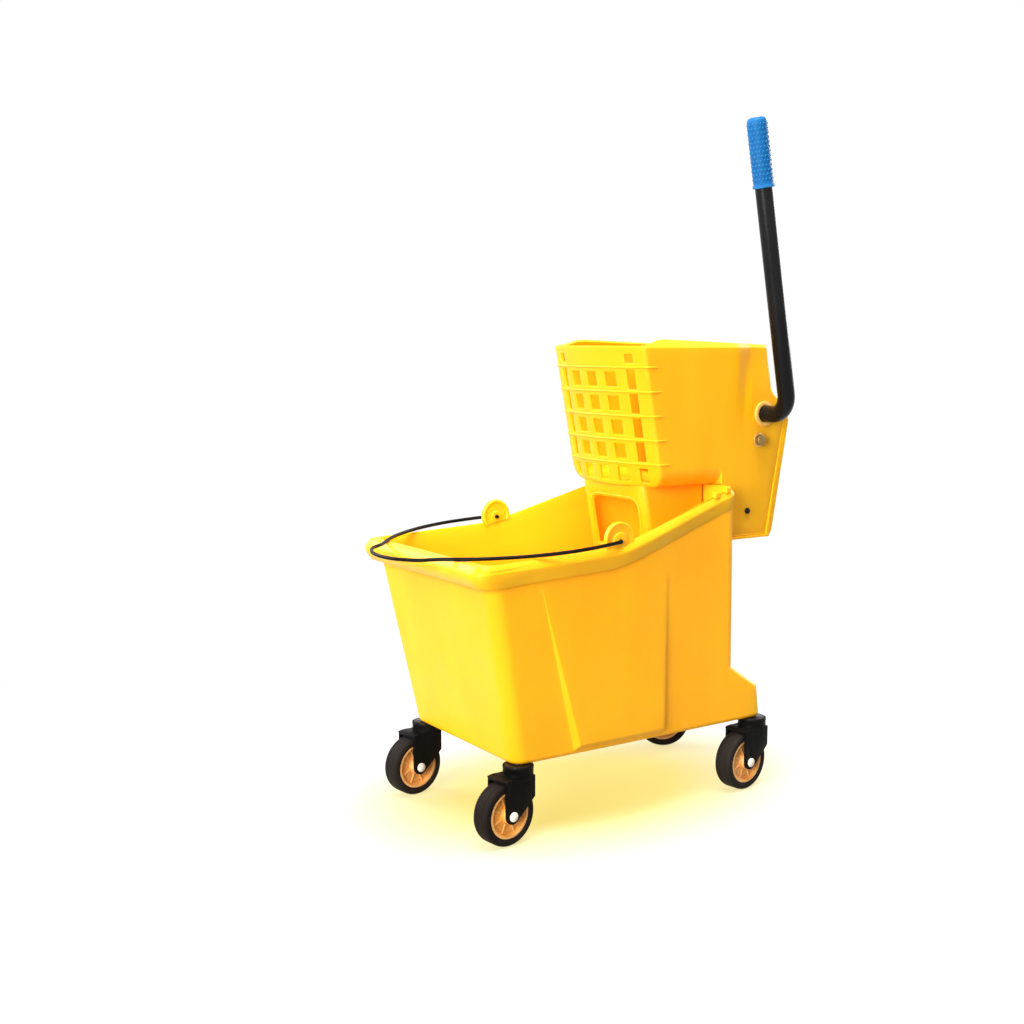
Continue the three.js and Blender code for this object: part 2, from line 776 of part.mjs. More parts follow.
function basketRings(inset, lowZ, overTop) {
  const levels = [lowZ, lowZ + bellyRound * 0.25, lowZ + bellyRound * 1.3];
  levels.push(coverTopZ - seatGap, coverTopZ + seatGap + inset);
  levels.push(mix(coverTopZ, basketRearLowZ, 0.5), basketRearLowZ);
  const rings = levels.map((z) => outline(basketPlan(z, inset), () => z));
  const topPlan = (extra) => basketPlan(basketTopZ, inset, extra);
  rings.push(outline(topPlan(0), (x) => archHeight(x) - basketLip));
  rings.push(outline(topPlan(basketLipInset), (x) => archHeight(x) + overTop));
  return rings;
}

function housingSolid() {
  const levels = [housingBottomZ, coverFootZ, basketFloorTopZ + bellyRound * 1.3];
  return loft(levels.map((z) => outline({
    front: housingFrontX,
    rear: rearFace(z),
    half: sideFace(z),
    frontRadius: 2,
    rearRadius: 1,
    cornerSteps: 1,
    sideSteps: 2,
    frontSteps: 2,
  }, () => z)));
}

function frameRing(z, inset) {
  return outline({
    front: frameFrontX + (basketFloorZ - z) * basketLean + inset,
    rear: hookInnerX - inset,
    half: frameHalf - inset,
    frontRadius: 7 - inset,
    rearRadius: 5 - inset,
    cornerSteps: 3,
    sideSteps: 2,
    frontSteps: 2,
  }, () => z);
}

function windowCutter() {
  const shape = new THREE.Shape();
  const r = windowRound;
  shape.moveTo(-windowHalf, windowBottomZ);
  shape.lineTo(windowHalf, windowBottomZ);
  shape.lineTo(windowHalf, windowTopZ - r);
  shape.absarc(windowHalf - r, windowTopZ - r, r, 0, Math.PI / 2);
  shape.lineTo(-windowHalf + r, windowTopZ);
  shape.absarc(-windowHalf + r, windowTopZ - r, r, Math.PI / 2, Math.PI);
  shape.closePath();
  const geometry = new THREE.ExtrudeGeometry(shape, {
    depth: 60, bevelEnabled: false, curveSegments: 4,
  });
  return geometry.rotateX(Math.PI / 2).rotateZ(Math.PI / 2).translate(frameFrontX - 20, 0, 0);
}

function grilleCutters() {
  const cutters = [];
  const x0 = basketFrontX - basketBow - cutOver;
  const x1 = basketFront(basketFloorZ) + grilleWall + cutOver;
  const opening = (y, z, width, height) =>
    box(x0, x1, y - width / 2, y + width / 2, z - height / 2, z + height / 2);
  for (let row = 0; row < grilleRows; row += 1) {
    const z = grilleTopRowZ - row * grilleRowPitch;
    for (let column = 0; column < grilleColumns; column += 1) {
      const y = (column - (grilleColumns - 1) / 2) * grilleColumnPitch;
      cutters.push(opening(y, z, grilleHole, grilleHole));
    }
    const height = row === grilleRows - 1 ? grilleHole : sideSlotHeight;
    cutters.push(opening(-sideSlotY, z, sideSlotWidth, height));
    cutters.push(opening(sideSlotY, z, sideSlotWidth, height));
  }
  const topZ = grilleTopRowZ + grilleRowPitch * 0.92;
  cutters.push(opening(-sideSlotY, topZ, sideSlotWidth, grilleHole - 3));
  cutters.push(opening(sideSlotY, topZ, sideSlotWidth, grilleHole - 3));
  return cutters;
}

// A thin raised line round the front and its corners, between two rows of openings.
function grilleRib(z) {
  const keep = basketFront(z) + ribWrap;
  const plan = { sideSteps: 2, valley: 0, rear: keep + ribWrap, rearRadius: basketCorner };
  const ring = (level) => outline({ ...basketPlan(level, -ribProud), ...plan }, () => level);
  return common(
    loft([ring(z - ribHeight / 2), ring(z + ribHeight / 2)]),
    box(-basketBow, keep, -basketFrontX - basketHalf, basketFrontX + basketHalf,
      z - ribHeight, z + ribHeight),
  );
}

function drainCutters() {
  const cutters = [];
  const [width, length] = drainSlot;
  const firstX = frameFrontX + floorRim + length;
  for (let row = 0; row < drainRows; row += 1) {
    const x = firstX + row * drainPitch;
    for (const side of [-1, 1]) {
      const y0 = side * 3;
      const y1 = side * (3 + Math.min(width, frameHalf - wall - 8));
      const [low, high] = y0 < y1 ? [y0, y1] : [y1, y0];
      cutters.push(box(x, x + length, low, high, basketFloorZ - cutOver, basketFloorTopZ + cutOver));
    }
  }
  return cutters;
}

function wringerBody() {
  const outer = join(
    loft(basketRings(0, basketFloorZ, 0)),
    housingSolid(),
    loft([frameRing(frameBottomZ, 0), frameRing(basketFloorZ + 1, 0)]),
    ...Array.from({ length: grilleRows }, (_, row) =>
      grilleRib(grilleTopRowZ + (0.5 - row) * grilleRowPitch)),
  );
  const hollow = cut(
    outer,
    loft(basketRings(wall, basketFloorTopZ, cutOver)),
    box(housingFrontX + wall, coverBulgeX + 20, -housingInner, housingInner,
      housingBottomZ - cutOver, coverTopZ - 0.4),
    loft([frameRing(frameBottomZ - cutOver, wall), frameRing(basketFloorZ, wall)]),
    windowCutter(),
    ...grilleCutters(),
    ...drainCutters(),
  );
  const bosses = [-1, 1].map((side) => barY(
    followerX, followerZ, bossRadius, side * (housingInner + 1),
    side * (followerY + followerThickness / 2 + seatGap), 20));
  const boreEnd = basketHalf + 2 * cutOver;
  const bores = [-1, 1].flatMap((side) => [
    barY(followerX, followerZ, boltRadius + seatGap, side * (bracketY + cutOver), side * boreEnd, 12),
    barY(shaftX, shaftZ, tubeRadius + bushWall + 2 * seatGap,
      side * (housingInner - cutOver), side * boreEnd, 20),
    barY(screwX, screwZ, screwRadius + seatGap, side * (housingInner - cutOver), side * boreEnd, 12),
  ]);
  return cut(join(hollow, ...bosses), ...bores);
}

// ---------------------------------------------------------------- rear cover

function rearCover() {
  const topZ = coverTopZ - seatGap;
  const sealZ = housingBottomZ - seatGap;
  const outer = plateXZ(polygon([
    [coverFace(topZ) - coverLip, topZ],
    [coverFace(topZ), topZ],
    [coverBulgeX, coverBulgeZ],
    [coverFootX, coverFootZ],
    [coverFootX - coverToe, sealZ - wall],
    [housingFrontX, sealZ - wall],
    [housingFrontX, sealZ],
    [coverFootX - coverLip, sealZ],
    [coverFootX - coverLip, coverFootZ],
    [coverBulgeX - coverLip, coverBulgeZ],
  ]), -sideFace(coverTopZ), sideFace(coverTopZ));
  const inner = plateXZ(polygon([
    [housingFrontX - cutOver, topZ + cutOver],
    [coverFace(topZ) - wall, topZ + cutOver],
    [coverBulgeX - wall, coverBulgeZ],
    [coverFootX - wall, coverFootZ],
    [coverFootX - coverToe - wall, sealZ],
    [housingFrontX - cutOver, sealZ],
  ]), -housingInner, housingInner);
  return join(cut(outer, inner), coverArm(-1), coverArm(1));
}

// An inner arm of the cover that takes one of the side screws.
function coverArm(side) {
  const outerY = side * (housingInner - 2 * seatGap);
  const arm = plateXZ(
    linkShape(screwX, screwZ, coverFace(screwZ) - wall / 2 - armHalfHeight, screwZ,
      armHalfHeight, armHalfHeight),
    outerY - side * armThickness, outerY);
  const foot = box(
    coverFace(screwZ) - wall - armHalfHeight, coverFace(screwZ - armHalfHeight) - wall / 2,
    Math.min(outerY, outerY - side * armThickness), Math.max(outerY, outerY - side * armThickness),
    screwZ - armHalfHeight, screwZ + armHalfHeight);
  return cut(join(arm, foot), barY(screwX, screwZ, screwRadius + seatGap, side * 60, side * 110, 12));
}

// ---------------------------------------------------------------- lever

// The lever's centre line: along the shaft, round the bend and up the handle.
class LeverPath extends THREE.Curve {
  constructor() {
    super();
    const lean = THREE.MathUtils.degToRad(leverLean);
    this.up = new THREE.Vector3(-Math.sin(lean), 0, Math.cos(lean));
    this.out = new THREE.Vector3(0, -1, 0);
    this.stops = [0, 0.1, 0.9, 1];
  }

  getPoint(t) {
    const [, bendStart, bendEnd] = this.stops;
    const elbow = new THREE.Vector3(0, leverY, 0);
    const corner = elbow.clone().addScaledVector(this.out, -leverBend).addScaledVector(this.up, leverBend);
    if (t <= bendStart) {
      const y = mix(shaftEndY, leverY + leverBend, t / bendStart);
      return new THREE.Vector3(0, y, 0);
    }
    if (t >= bendEnd) {
      const along = mix(leverBend, leverLength - gripTopWall - seatGap, (t - bendEnd) / (1 - bendEnd));
      return elbow.addScaledVector(this.up, along);
    }
    const angle = (Math.PI / 2) * ((t - bendStart) / (bendEnd - bendStart));
    return corner.addScaledVector(this.up, -leverBend * Math.cos(angle))
      .addScaledVector(this.out, leverBend * Math.sin(angle));
  }

  getTangent(t) {
    const [, bendStart, bendEnd] = this.stops;
    const turn = Math.min(Math.max((t - bendStart) / (bendEnd - bendStart), 0), 1);
    const angle = (Math.PI / 2) * turn;
    return this.out.clone().multiplyScalar(Math.cos(angle)).addScaledVector(this.up, Math.sin(angle));
  }

  getPointAt(t) {
    return this.getPoint(t);
  }

  getTangentAt(t) {
    return this.getTangent(t);
  }
}

function leverTube() {
  const ring = new THREE.Shape();
  ring.absarc(0, 0, tubeRadius, 0, 2 * Math.PI);
  const bore = new THREE.Path();
  bore.absarc(0, 0, tubeRadius - tubeWall, 0, 2 * Math.PI, true);
  ring.holes.push(bore);
  const tube = new THREE.ExtrudeGeometry(ring, {
    extrudePath: new LeverPath(), steps: 10, curveSegments: 7, bevelEnabled: false,
  });
  return cut(tube, crossPin(-1, seatGap), crossPin(1, seatGap));
}

function leverGrip() {
  const bore = tubeRadius + seatGap;
  const length = gripLength;
  const round = 4;
  const profile = [
    [0, length - gripTopWall], [bore, length - gripTopWall], [bore, 0],
    [gripRadius + 0.6, 0], [gripRadius + 0.6, 3], [gripRadius - 0.4, 5],
    [gripRadius - 0.4, length - round], [gripRadius - 0.4 - round * 0.3, length - round * 0.3],
    [gripRadius - round, length], [0, length],
  ];
  const lean = THREE.MathUtils.degToRad(leverLean);
  const start = leverLength - gripLength;
  return turned(profile, 20).rotateX(Math.PI / 2).rotateY(-lean)
    .translate(-start * Math.sin(lean), leverY, start * Math.cos(lean));
}

function shaftBush(side) {
  const face = sideFace(shaftZ) + seatGap;
  const bush = join(
    barY(0, 0, tubeRadius + seatGap + bushWall, side * (springEndHalf + springLength), side * (face + 1), 20),
    barY(0, 0, bushFlangeRadius, side * face, side * (face + bushFlange), 20),
  );
  return cut(bush, barY(0, 0, tubeRadius + seatGap, side * springEndHalf, side * shaftEndY, 20));
}

function shaftClip() {
  const inner = sideFace(shaftZ) + bushFlange + 2 * seatGap;
  const ring = barY(0, 0, clipRadius, inner, inner + clipThickness, 20);
  return cut(ring, barY(0, 0, tubeRadius + seatGap, inner - 1, inner + clipThickness + 1, 20));
}

function shaftPlug() {
  const bore = tubeRadius - tubeWall - seatGap;
  return join(
    barY(0, 0, bore * 0.98, shaftEndY - plugDepth, shaftEndY + seatGap, 20),
    barY(0, 0, tubeRadius, shaftEndY + seatGap, shaftEndY + seatGap + clipThickness, 20),
  );
}

// ---------------------------------------------------------------- linkage

// Linkage parts are drawn about the shaft axis.
function crossPin(side, gap = 0) {
  const pin = new THREE.CylinderGeometry(crossPinRadius + gap, crossPinRadius + gap,
    2 * (crankHubRadius + crossPinRadius / 2), 8);
  return pin.rotateZ(Math.PI / 2).rotateY(linkRest).translate(0, side * crankY, 0);
}

function crank(side) {
  const y = side * crankY;
  const arm = plateXZ(
    linkShape(0, 0, linkRunX, -linkDropZ, crankHubRadius - 3, linkEndRadius),
    y - crankThickness / 2, y + crankThickness / 2);
  const hub = barY(0, 0, crankHubRadius, y - crankHubWidth / 2, y + crankHubWidth / 2, 20);
  return cut(
    join(arm, hub),
    barY(0, 0, tubeRadius + seatGap, side * 20, side * 80, 20),
    barY(linkRunX, -linkDropZ, linkPinRadius + runGap, side * 20, side * 80, 12),
    crossPin(side, seatGap),
  );
}

// Follower arms are drawn about their pivot bolt.
function follower(side) {
  const y = side * followerY;
  const arm = plateXZ(
    linkShape(0, 0, linkRunX, -linkDropZ, linkEndRadius, linkEndRadius),
    y - followerThickness / 2, y + followerThickness / 2);
  return cut(
    arm,
    barY(0, 0, boltRadius + runGap, side * 20, side * 80, 12),
    barY(linkRunX, -linkDropZ, linkPinRadius + runGap, side * 20, side * 80, 12),
  );
}

function headedPin(side, innerY, outerY) {
  const inner = innerY - seatGap;
  const outer = outerY + seatGap;
  return join(
    barY(0, 0, linkPinRadius, side * (inner - 1), side * (outer + 1), 12),
    barY(0, 0, pinHeadRadius, side * (inner - pinHeadHeight), side * inner, 12),
    barY(0, 0, pinHeadRadius, side * outer, side * (outer + pinHeadHeight), 12),
  );
}

function pivotBolt(side) {
  const face = sideFace(followerZ) + washerThickness + 3 * seatGap;
  const end = followerY - followerThickness / 2 - seatGap - nutHeight - boltStickOut;
  return join(
    barY(0, 0, boltRadius, side * end, side * (face + 1), 12),
    barY(0, 0, boltHeadRadius, side * face, side * (face + boltHeadHeight), 6),
  );
}

function pivotWasher(side) {
  const face = sideFace(followerZ) + 2 * seatGap;
  return cut(
    barY(0, 0, washerRadius, side * face, side * (face + washerThickness), 20),
    barY(0, 0, boltRadius + seatGap, side * (face - 1), side * (face + washerThickness + 1), 12),
  );
}

function pivotNut(side) {
  const face = followerY - followerThickness / 2 - seatGap;
  return cut(
    barY(0, 0, boltHeadRadius, side * face, side * (face - nutHeight), 6),
    barY(0, 0, boltRadius + seatGap, side * (face + 1), side * (face - nutHeight - 1), 12),
  );
}

function coverScrew(side) {
  const face = sideFace(screwZ) + seatGap;
  return join(
    barY(0, 0, screwRadius, side * (face - screwLength), side * (face + 1), 12),
    barY(0, 0, screwHeadRadius, side * face, side * (face + screwHeadHeight), 12),
  );
}

// ---------------------------------------------------------------- press plate

function plateBack(z) {
  return plateFaceX + (shaftZ - z) * basketLean + plateThickness;
}

function pressPlate() {
  const slab = (outline2d, x0, x1) => {
    const shape = new THREE.Shape(outline2d.map(([y, z]) => new THREE.Vector2(y, z)));
    const plate = new THREE.ExtrudeGeometry(shape, { depth: x1 - x0, bevelEnabled: false });
    return plate.rotateX(Math.PI / 2).rotateZ(Math.PI / 2).translate(x0, 0, 0);
  };
  // The plate leans as the grille does, so upright slabs are sheared along X.
  const lean = new THREE.Matrix4().set(
    1, 0, -basketLean, shaftZ * basketLean,
    0, 1, 0, 0,
    0, 0, 1, 0,
    0, 0, 0, 1);
  const face = slab([
    [-plateLowHalf, plateBottomZ], [plateLowHalf, plateBottomZ], [plateHalf, plateChamferZ],
    [plateHalf, plateTopZ - 8], [plateHalf - 8, plateTopZ], [-plateHalf + 8, plateTopZ],
    [-plateHalf, plateTopZ - 8], [-plateHalf, plateChamferZ],
  ], plateFaceX, plateFaceX + plateThickness);
  const ribs = [-2, -1, 0, 1, 2].map((step) => {
    const y = step * plateRibPitch;
    const low = Math.abs(step) > 1 ? plateChamferZ : plateBottomZ + 4;
    return slab([
      [y - plateRibThickness / 2, low], [y + plateRibThickness / 2, low],
      [y + plateRibThickness / 2, plateTopZ - 10], [y - plateRibThickness / 2, plateTopZ - 10],
    ], plateFaceX + plateThickness - 1, plateFaceX + plateThickness + plateRibDepth);
  });
  const brackets = [-1, 1].map((side) => {
    const y0 = side * (bracketY - bracketThickness / 2);
    const y1 = side * (bracketY + bracketThickness / 2);
    const web = plateXZ(polygon([
      [plateBack(plateBottomZ + 3) - 1, plateBottomZ + 3],
      [lowerPinX, lowerPinZ - linkEndRadius],
      [crankPinX, crankPinZ + linkEndRadius],
      [plateBack(bracketTopZ) - 1, bracketTopZ],
    ]), Math.min(y0, y1), Math.max(y0, y1));
    const lugs = plateXZ(
      linkShape(lowerPinX, lowerPinZ, crankPinX, crankPinZ, linkEndRadius, linkEndRadius),
      Math.min(y0, y1), Math.max(y0, y1));
    return cut(
      join(web, lugs),
      barY(lowerPinX, lowerPinZ, linkPinRadius + runGap, side * 20, side * 60, 12),
      barY(crankPinX, crankPinZ, linkPinRadius + runGap, side * 20, side * 60, 12),
    );
  });
  return join(join(face, ...ribs).applyMatrix4(lean), ...brackets);
}

// ---------------------------------------------------------------- spring and buffers

function returnSpring() {
  const turns = springTurns;
  class Coil extends THREE.Curve {
    getPoint(t) {
      const angle = 2 * Math.PI * turns * t;
      const reach = springLength - 2 * (springWire + seatGap);
      return new THREE.Vector3(
        springRadius * Math.cos(angle),
        -(springEndHalf + springWire + seatGap + reach * t),
        springRadius * Math.sin(angle));
    }
  }
  const wire = new THREE.Shape();
  wire.absarc(0, 0, springWire, 0, 2 * Math.PI);
  return new THREE.ExtrudeGeometry(wire, {
    extrudePath: new Coil(), steps: turns * 9, curveSegments: 3, bevelEnabled: false,
  });
}

// A rubber pad on the cover's inner face, behind the end of a crank.
function restBuffer(side) {
  const slope = Math.atan2(coverBulgeX - coverFootX, coverBulgeZ - coverFootZ);
  const faceX = coverFace(crankPinZ) - wall;
  const room = (faceX - crankPinX) * Math.cos(slope) - linkEndRadius;
  const thickness = room - seatGap - runGap;
  const centre = linkEndRadius + runGap + thickness / 2;
  const pad = new THREE.CylinderGeometry(bufferRadius, bufferRadius, thickness, 20);
  return pad.rotateZ(Math.PI / 2).rotateY(slope).translate(
    crankPinX + centre * Math.cos(slope), side * crankY, crankPinZ - centre * Math.sin(slope));
}

// ---------------------------------------------------------------- assembly

function at(x, z, ...meshes) {
  const group = new THREE.Group();
  group.position.set(x, 0, z);
  group.add(...meshes);
  return group;
}

const part = new THREE.Group();
part.add(piece('bucket_shell', bucketShell(), yellowPlastic), bail());
for (const [end, x] of [['front', frontCasterX], ['rear', rearCasterX]]) {
  part.add(caster(`${end}_near`, x, -casterHalfTrack), caster(`${end}_far`, x, casterHalfTrack));
}
part.add(
  piece('wringer_body', wringerBody(), yellowPlastic),
  piece('rear_cover', rearCover(), yellowPlastic),
  piece('press_plate', pressPlate(), yellowPlastic),
  at(
    shaftX, shaftZ,
    piece('lever_tube', leverTube(), blackPaint),
    piece('lever_grip', leverGrip(), blueVinyl),
    piece('shaft_clip', shaftClip(), zincSteel),
    piece('shaft_plug', shaftPlug(), blackNylon),
    piece('return_spring', returnSpring(), springSteel),
  ),
);
for (const [name, side] of [['near', -1], ['far', 1]]) {
  const headGap = bracketY - bracketThickness / 2;
  part.add(
    at(
      shaftX, shaftZ,
      piece(`shaft_bush_${name}`, shaftBush(side), naturalNylon),
      piece(`crank_${name}`, crank(side), zincSteel),
      piece(`crank_cross_pin_${name}`, crossPin(side), zincSteel),
    ),
    at(
      followerX, followerZ,
      piece(`follower_${name}`, follower(side), zincSteel),
      piece(`pivot_bolt_${name}`, pivotBolt(side), zincSteel),
      piece(`pivot_washer_${name}`, pivotWasher(side), zincSteel),
      piece(`pivot_nut_${name}`, pivotNut(side), zincSteel),
    ),
    at(crankPinX, crankPinZ, piece(`crank_pin_${name}`,
      headedPin(side, headGap, crankY + crankThickness / 2), zincSteel)),
    at(lowerPinX, lowerPinZ, piece(`lower_pin_${name}`,
      headedPin(side, headGap, followerY + followerThickness / 2), zincSteel)),
    at(screwX, screwZ, piece(`cover_screw_${name}`, coverScrew(side), blackPaint)),
    piece(`rest_buffer_${name}`, restBuffer(side), tyreRubber),
  );
}

export default part;
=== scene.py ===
"""Dressed model of a wheeled mop bucket with a lift-off side-press wringer.

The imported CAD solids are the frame. Each visible piece is either a refined copy of its
solid or a finer mesh built to the same dimensions, which are in millimetres below.
"""
import math

import bmesh
import bpy
from mathutils import Matrix, Vector


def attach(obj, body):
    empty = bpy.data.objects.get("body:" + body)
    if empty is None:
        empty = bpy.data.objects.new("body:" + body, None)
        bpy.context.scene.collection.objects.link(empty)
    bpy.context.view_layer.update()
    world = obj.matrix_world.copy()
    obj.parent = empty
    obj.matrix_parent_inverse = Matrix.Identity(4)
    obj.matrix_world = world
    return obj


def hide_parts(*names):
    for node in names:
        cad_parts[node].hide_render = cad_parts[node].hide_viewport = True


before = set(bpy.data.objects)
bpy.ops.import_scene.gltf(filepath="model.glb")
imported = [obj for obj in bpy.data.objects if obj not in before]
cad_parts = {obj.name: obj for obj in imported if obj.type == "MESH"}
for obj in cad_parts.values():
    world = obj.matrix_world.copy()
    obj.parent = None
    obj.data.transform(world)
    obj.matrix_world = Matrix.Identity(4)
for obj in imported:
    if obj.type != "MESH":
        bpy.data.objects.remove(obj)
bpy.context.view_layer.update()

MM = 0.001

# ---- dimensions, millimetres

WALL = 3.0
TUB_Z = 92.5
TUB_FRONT = -168.5
TUB_REAR = 224.5
TUB_LEAN = 48.5
TUB_HALF = (119.7, 137.9)
TUB_REAR_HALF = (117.7, 121.5)
TAPER_X = -30.0
FOOT_TOP_Z = 134.5
FOOT_WALL_Z = 165.5
FOOT_WALL_X = 172.5
REAR_WALL_TOP_X = 165.8
FOOT_LEAN = 6.0
RIM_FRONT_Z = 334.5
RIM_FRONT_X = -232.0
RIM_REAR_X = 167.5
RIM_HALF = (142.8, 124.0)
RIM_SKIRT = 26.0
RIM_TOP = 5.0
RIM_ROUND, RIM_FULLNESS = (6.2, 9.0), 1.6
RIM_LIP = 1.4
RIM_SLOPE = 0.038
# Below the rim's top: how far out its skirt stands, as shares of the gap between tub and rim,
# at the sides where the gap is narrow and at the front where it is wide.
SKIRT_GAP = (5.0, 14.0)
SKIRT = ((26.0, 0.2, 0.5), (25.4, 0.26, 0.56), (22.0, 0.42, 0.74), (18.0, 0.62, 0.9),
         (14.0, 0.82, 1.0))
RIM_SWEEP, RIM_SWEEP_X, RIM_SWEEP_EASE = 51.69, -34.0, 14.0
TUB_CORNER, RIM_CORNER, CORNER_REAR = 18.0, 18.0, 14.0
TUB_EDGE = 6.0
TUB_INSIDE_Z, TUB_INSIDE_ROUND = 103.0, 6.5
PANEL_PROUD = 8.5
PANEL_Z = (106.5, 304.0)
PANEL_FRONT_X = (-87.7, -143.0)
PANEL_REAR_X = 47.0

BAIL_X, BAIL_Z = -32.5, 349.0
WIRE_RADIUS = 2.2
EAR_RADIUS = 21.0
EAR_HALF = 138.9
BAIL_REACH, BAIL_BEND = 246.0, 3.2

BASKET_FRONT_X = 34.0
BASKET_TOP_Z = 578.0
BASKET_LEAN = 0.1834
BASKET_BOW = 15.0
BASKET_HALF = (93.0, 95.3)
BASKET_FLOOR_Z = 401.66
BASKET_ARCH = 8.0
BASKET_ARCH_X = 72.0
BASKET_LIP_Z = 575.5
BASKET_LIP_LEAN = 1.05
BASKET_REAR_TOP_X = 246.0
BASKET_REAR_LOW = (251.0, 524.0)
BASKET_CORNER = 5.0
BELLY_ROUND = 17.0
COVER_TOP_Z = 492.0
COVER_SHOULDER_X = 276.5
COVER_BULGE = (280.5, 480.0)
COVER_FOOT = (254.5, 336.0)
COVER_LIP = 9.3
COVER_RIB_Z = (352.0, 466.0)
HOUSING_FRONT_X = 168.5
HOUSING_BOTTOM_Z = 331.0
STEP_X, STEP_RUN, STEP_DEPTH = 214.0, 24.0, 6.0
STEP_LOW_Z = (450.0, 508.0)
GRILLE_ROWS, GRILLE_ROW_PITCH, GRILLE_TOP_Z = 5, 30.2, 536.5
HOLE_TALL, SLOT_TALL = 9.5, 12.5
SLOT_Y = (63.25, 75.75)
TOP_SLOT_Z = (556.3, 568.0)
GRILLE_Y = (0.0, 4.8, 9.5, 18.0, 26.5, 36.0, 45.5, 54.0, SLOT_Y[0], 69.5, SLOT_Y[1], 83.0)
FRAME_HALF, FRAME_FRONT_X, FRAME_REAR_X, FRAME_BOTTOM_Z = 65.0, 60.0, 161.8, 300.0
WINDOW_HALF, WINDOW_Z, WINDOW_ROUND = 47.0, (318.0, 382.0), 12.0

SHAFT = (235.5, 490.0)
SHAFT_FAR_Y = 100.7
PIVOT_X, PIVOT_Z = SHAFT[0] - 8, SHAFT[1] - 34
TUBE_RADIUS = 11.0
LEVER_LEAN = math.radians(10.4)
LEVER_Y = -139.0
LEVER_LENGTH = 370.0
LEVER_BEND = 28.0
GRIP_LENGTH, GRIP_RADIUS = 85.0, 13.0
PIP_ROWS, PIPS_AROUND, PIP_RADIUS, PIP_SIDES = 13, 16, 1.45, 8

WHEEL_RADIUS, TREAD_WIDTH, TYRE_THICKNESS = 37.5, 25.0, 9.0
AXLE_HALF = TREAD_WIDTH / 2 + 5.5
CASTER_TRAIL = 22.0
CASTER_FRONT_X, CASTER_REAR_X, CASTER_Y = -157.5, 213.0, 109.0
# Each caster's axis and the heading it has turned to, in degrees.
CASTERS = {
    "front_near": (CASTER_FRONT_X, -CASTER_Y, 7.0),
    "front_far": (CASTER_FRONT_X, CASTER_Y, 7.0),
    "rear_near": (CASTER_REAR_X, -CASTER_Y, 7.0),
    "rear_far": (CASTER_REAR_X, CASTER_Y, 138.0),
}


# ---- small helpers

def mix(a, b, t):
    return a + (b - a) * t


def clamp(t):
    return min(max(t, 0.0), 1.0)


def smooth(t):
    u = clamp(t)
    return u * u * (3 - 2 * u)


def quarter(steps):
    """Cosine and sine at even steps over a quarter turn."""
    angles = [k / steps * math.pi / 2 for k in range(steps + 1)]
    return [(math.cos(a), math.sin(a)) for a in angles]


def quads(rows, count, closed=True, around=False, first=0):
    """Faces between neighbouring rows of count points; around joins the last row to the first."""
    faces = []
    for row in range(rows if around else rows - 1):
        a, b = first + row * count, first + (row + 1) % rows * count
        for i in range(count if closed else count - 1):
            j = (i + 1) % count
            faces.append((a + i, a + j, b + j, b + i))
    return faces


def rim_height(x):
    def climb(at):
        return at - RIM_SWEEP_X + math.hypot(at - RIM_SWEEP_X, RIM_SWEEP_EASE)

    level = RIM_FRONT_Z + RIM_SLOPE * (x - RIM_FRONT_X)
    return level + RIM_SWEEP * climb(x) / climb(RIM_REAR_X)


def side_face(z):
    return mix(*BASKET_HALF, (z - BASKET_FLOOR_Z) / (BASKET_TOP_Z - BASKET_FLOOR_Z))


def mesh_object(name, verts, faces):
    """A mesh from points in millimetres."""
    mesh = bpy.data.meshes.new(name)
    mesh.from_pydata([(x * MM, y * MM, z * MM) for x, y, z in verts], [], faces)
    obj = bpy.data.objects.new(name, mesh)
    bpy.context.scene.collection.objects.link(obj)
    clean = bmesh.new()
    clean.from_mesh(mesh)
    bmesh.ops.remove_doubles(clean, verts=clean.verts, dist=1e-6)
    bmesh.ops.recalc_face_normals(clean, faces=clean.faces)
    clean.to_mesh(mesh)
    clean.free()
    return obj


def apply_modifiers(obj):
    depsgraph = bpy.context.evaluated_depsgraph_get()
    mesh = bpy.data.meshes.new_from_object(obj.evaluated_get(depsgraph))
    obj.modifiers.clear()
    obj.data = mesh
    return obj


def modifier(obj, kind, **settings):
    mod = obj.modifiers.new(kind.lower(), kind)
    for key, value in settings.items():
        setattr(mod, key, value)
    return mod


def bevel(obj, width, angle=32.0, segments=2):
    modifier(obj, "BEVEL", width=width * MM, segments=segments, limit_method="ANGLE",
             angle_limit=math.radians(angle), use_clamp_overlap=True, miter_outer="MITER_ARC")
    return apply_modifiers(obj)


def shade(obj, angle=32.0):
    obj.data.shade_smooth()
    obj.data.set_sharp_from_angle(angle=math.radians(angle))
    return obj


def finish_piece(obj, body, material, replaces=(), angle=32.0):
    shade(obj, angle)
    obj.data.materials.clear()
    obj.data.materials.append(material)
    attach(obj, body)
    if replaces:
        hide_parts(*replaces)
    return obj


def refined(node, material, body, slot, width=0.6, angle=32.0, segments=2, shade_angle=32.0):
    """A copy of a CAD solid with its flat faces joined and its edges rounded."""
    obj = bpy.data.objects.new(f"{node}_fine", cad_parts[node].data.copy())
    bpy.context.scene.collection.objects.link(obj)
    work = bmesh.new()
    work.from_mesh(obj.data)
    bmesh.ops.remove_doubles(work, verts=work.verts, dist=2e-6)
    bmesh.ops.dissolve_limit(work, angle_limit=math.radians(1.0), verts=work.verts,
                             edges=work.edges)
    work.to_mesh(obj.data)
    work.free()
    if width:
        bevel(obj, width, angle, segments)
    return finish_piece(obj, body, material, (node,), shade_angle)


def joined(name, objects):
    """One object out of several, with the meshes simply put together."""
    work = bmesh.new()
    for obj in objects:
        work.from_mesh(obj.data)
        bpy.data.objects.remove(obj)
    mesh = bpy.data.meshes.new(name)
    work.to_mesh(mesh)
    work.free()
    obj = bpy.data.objects.new(name, mesh)
    bpy.context.scene.collection.objects.link(obj)
    return obj


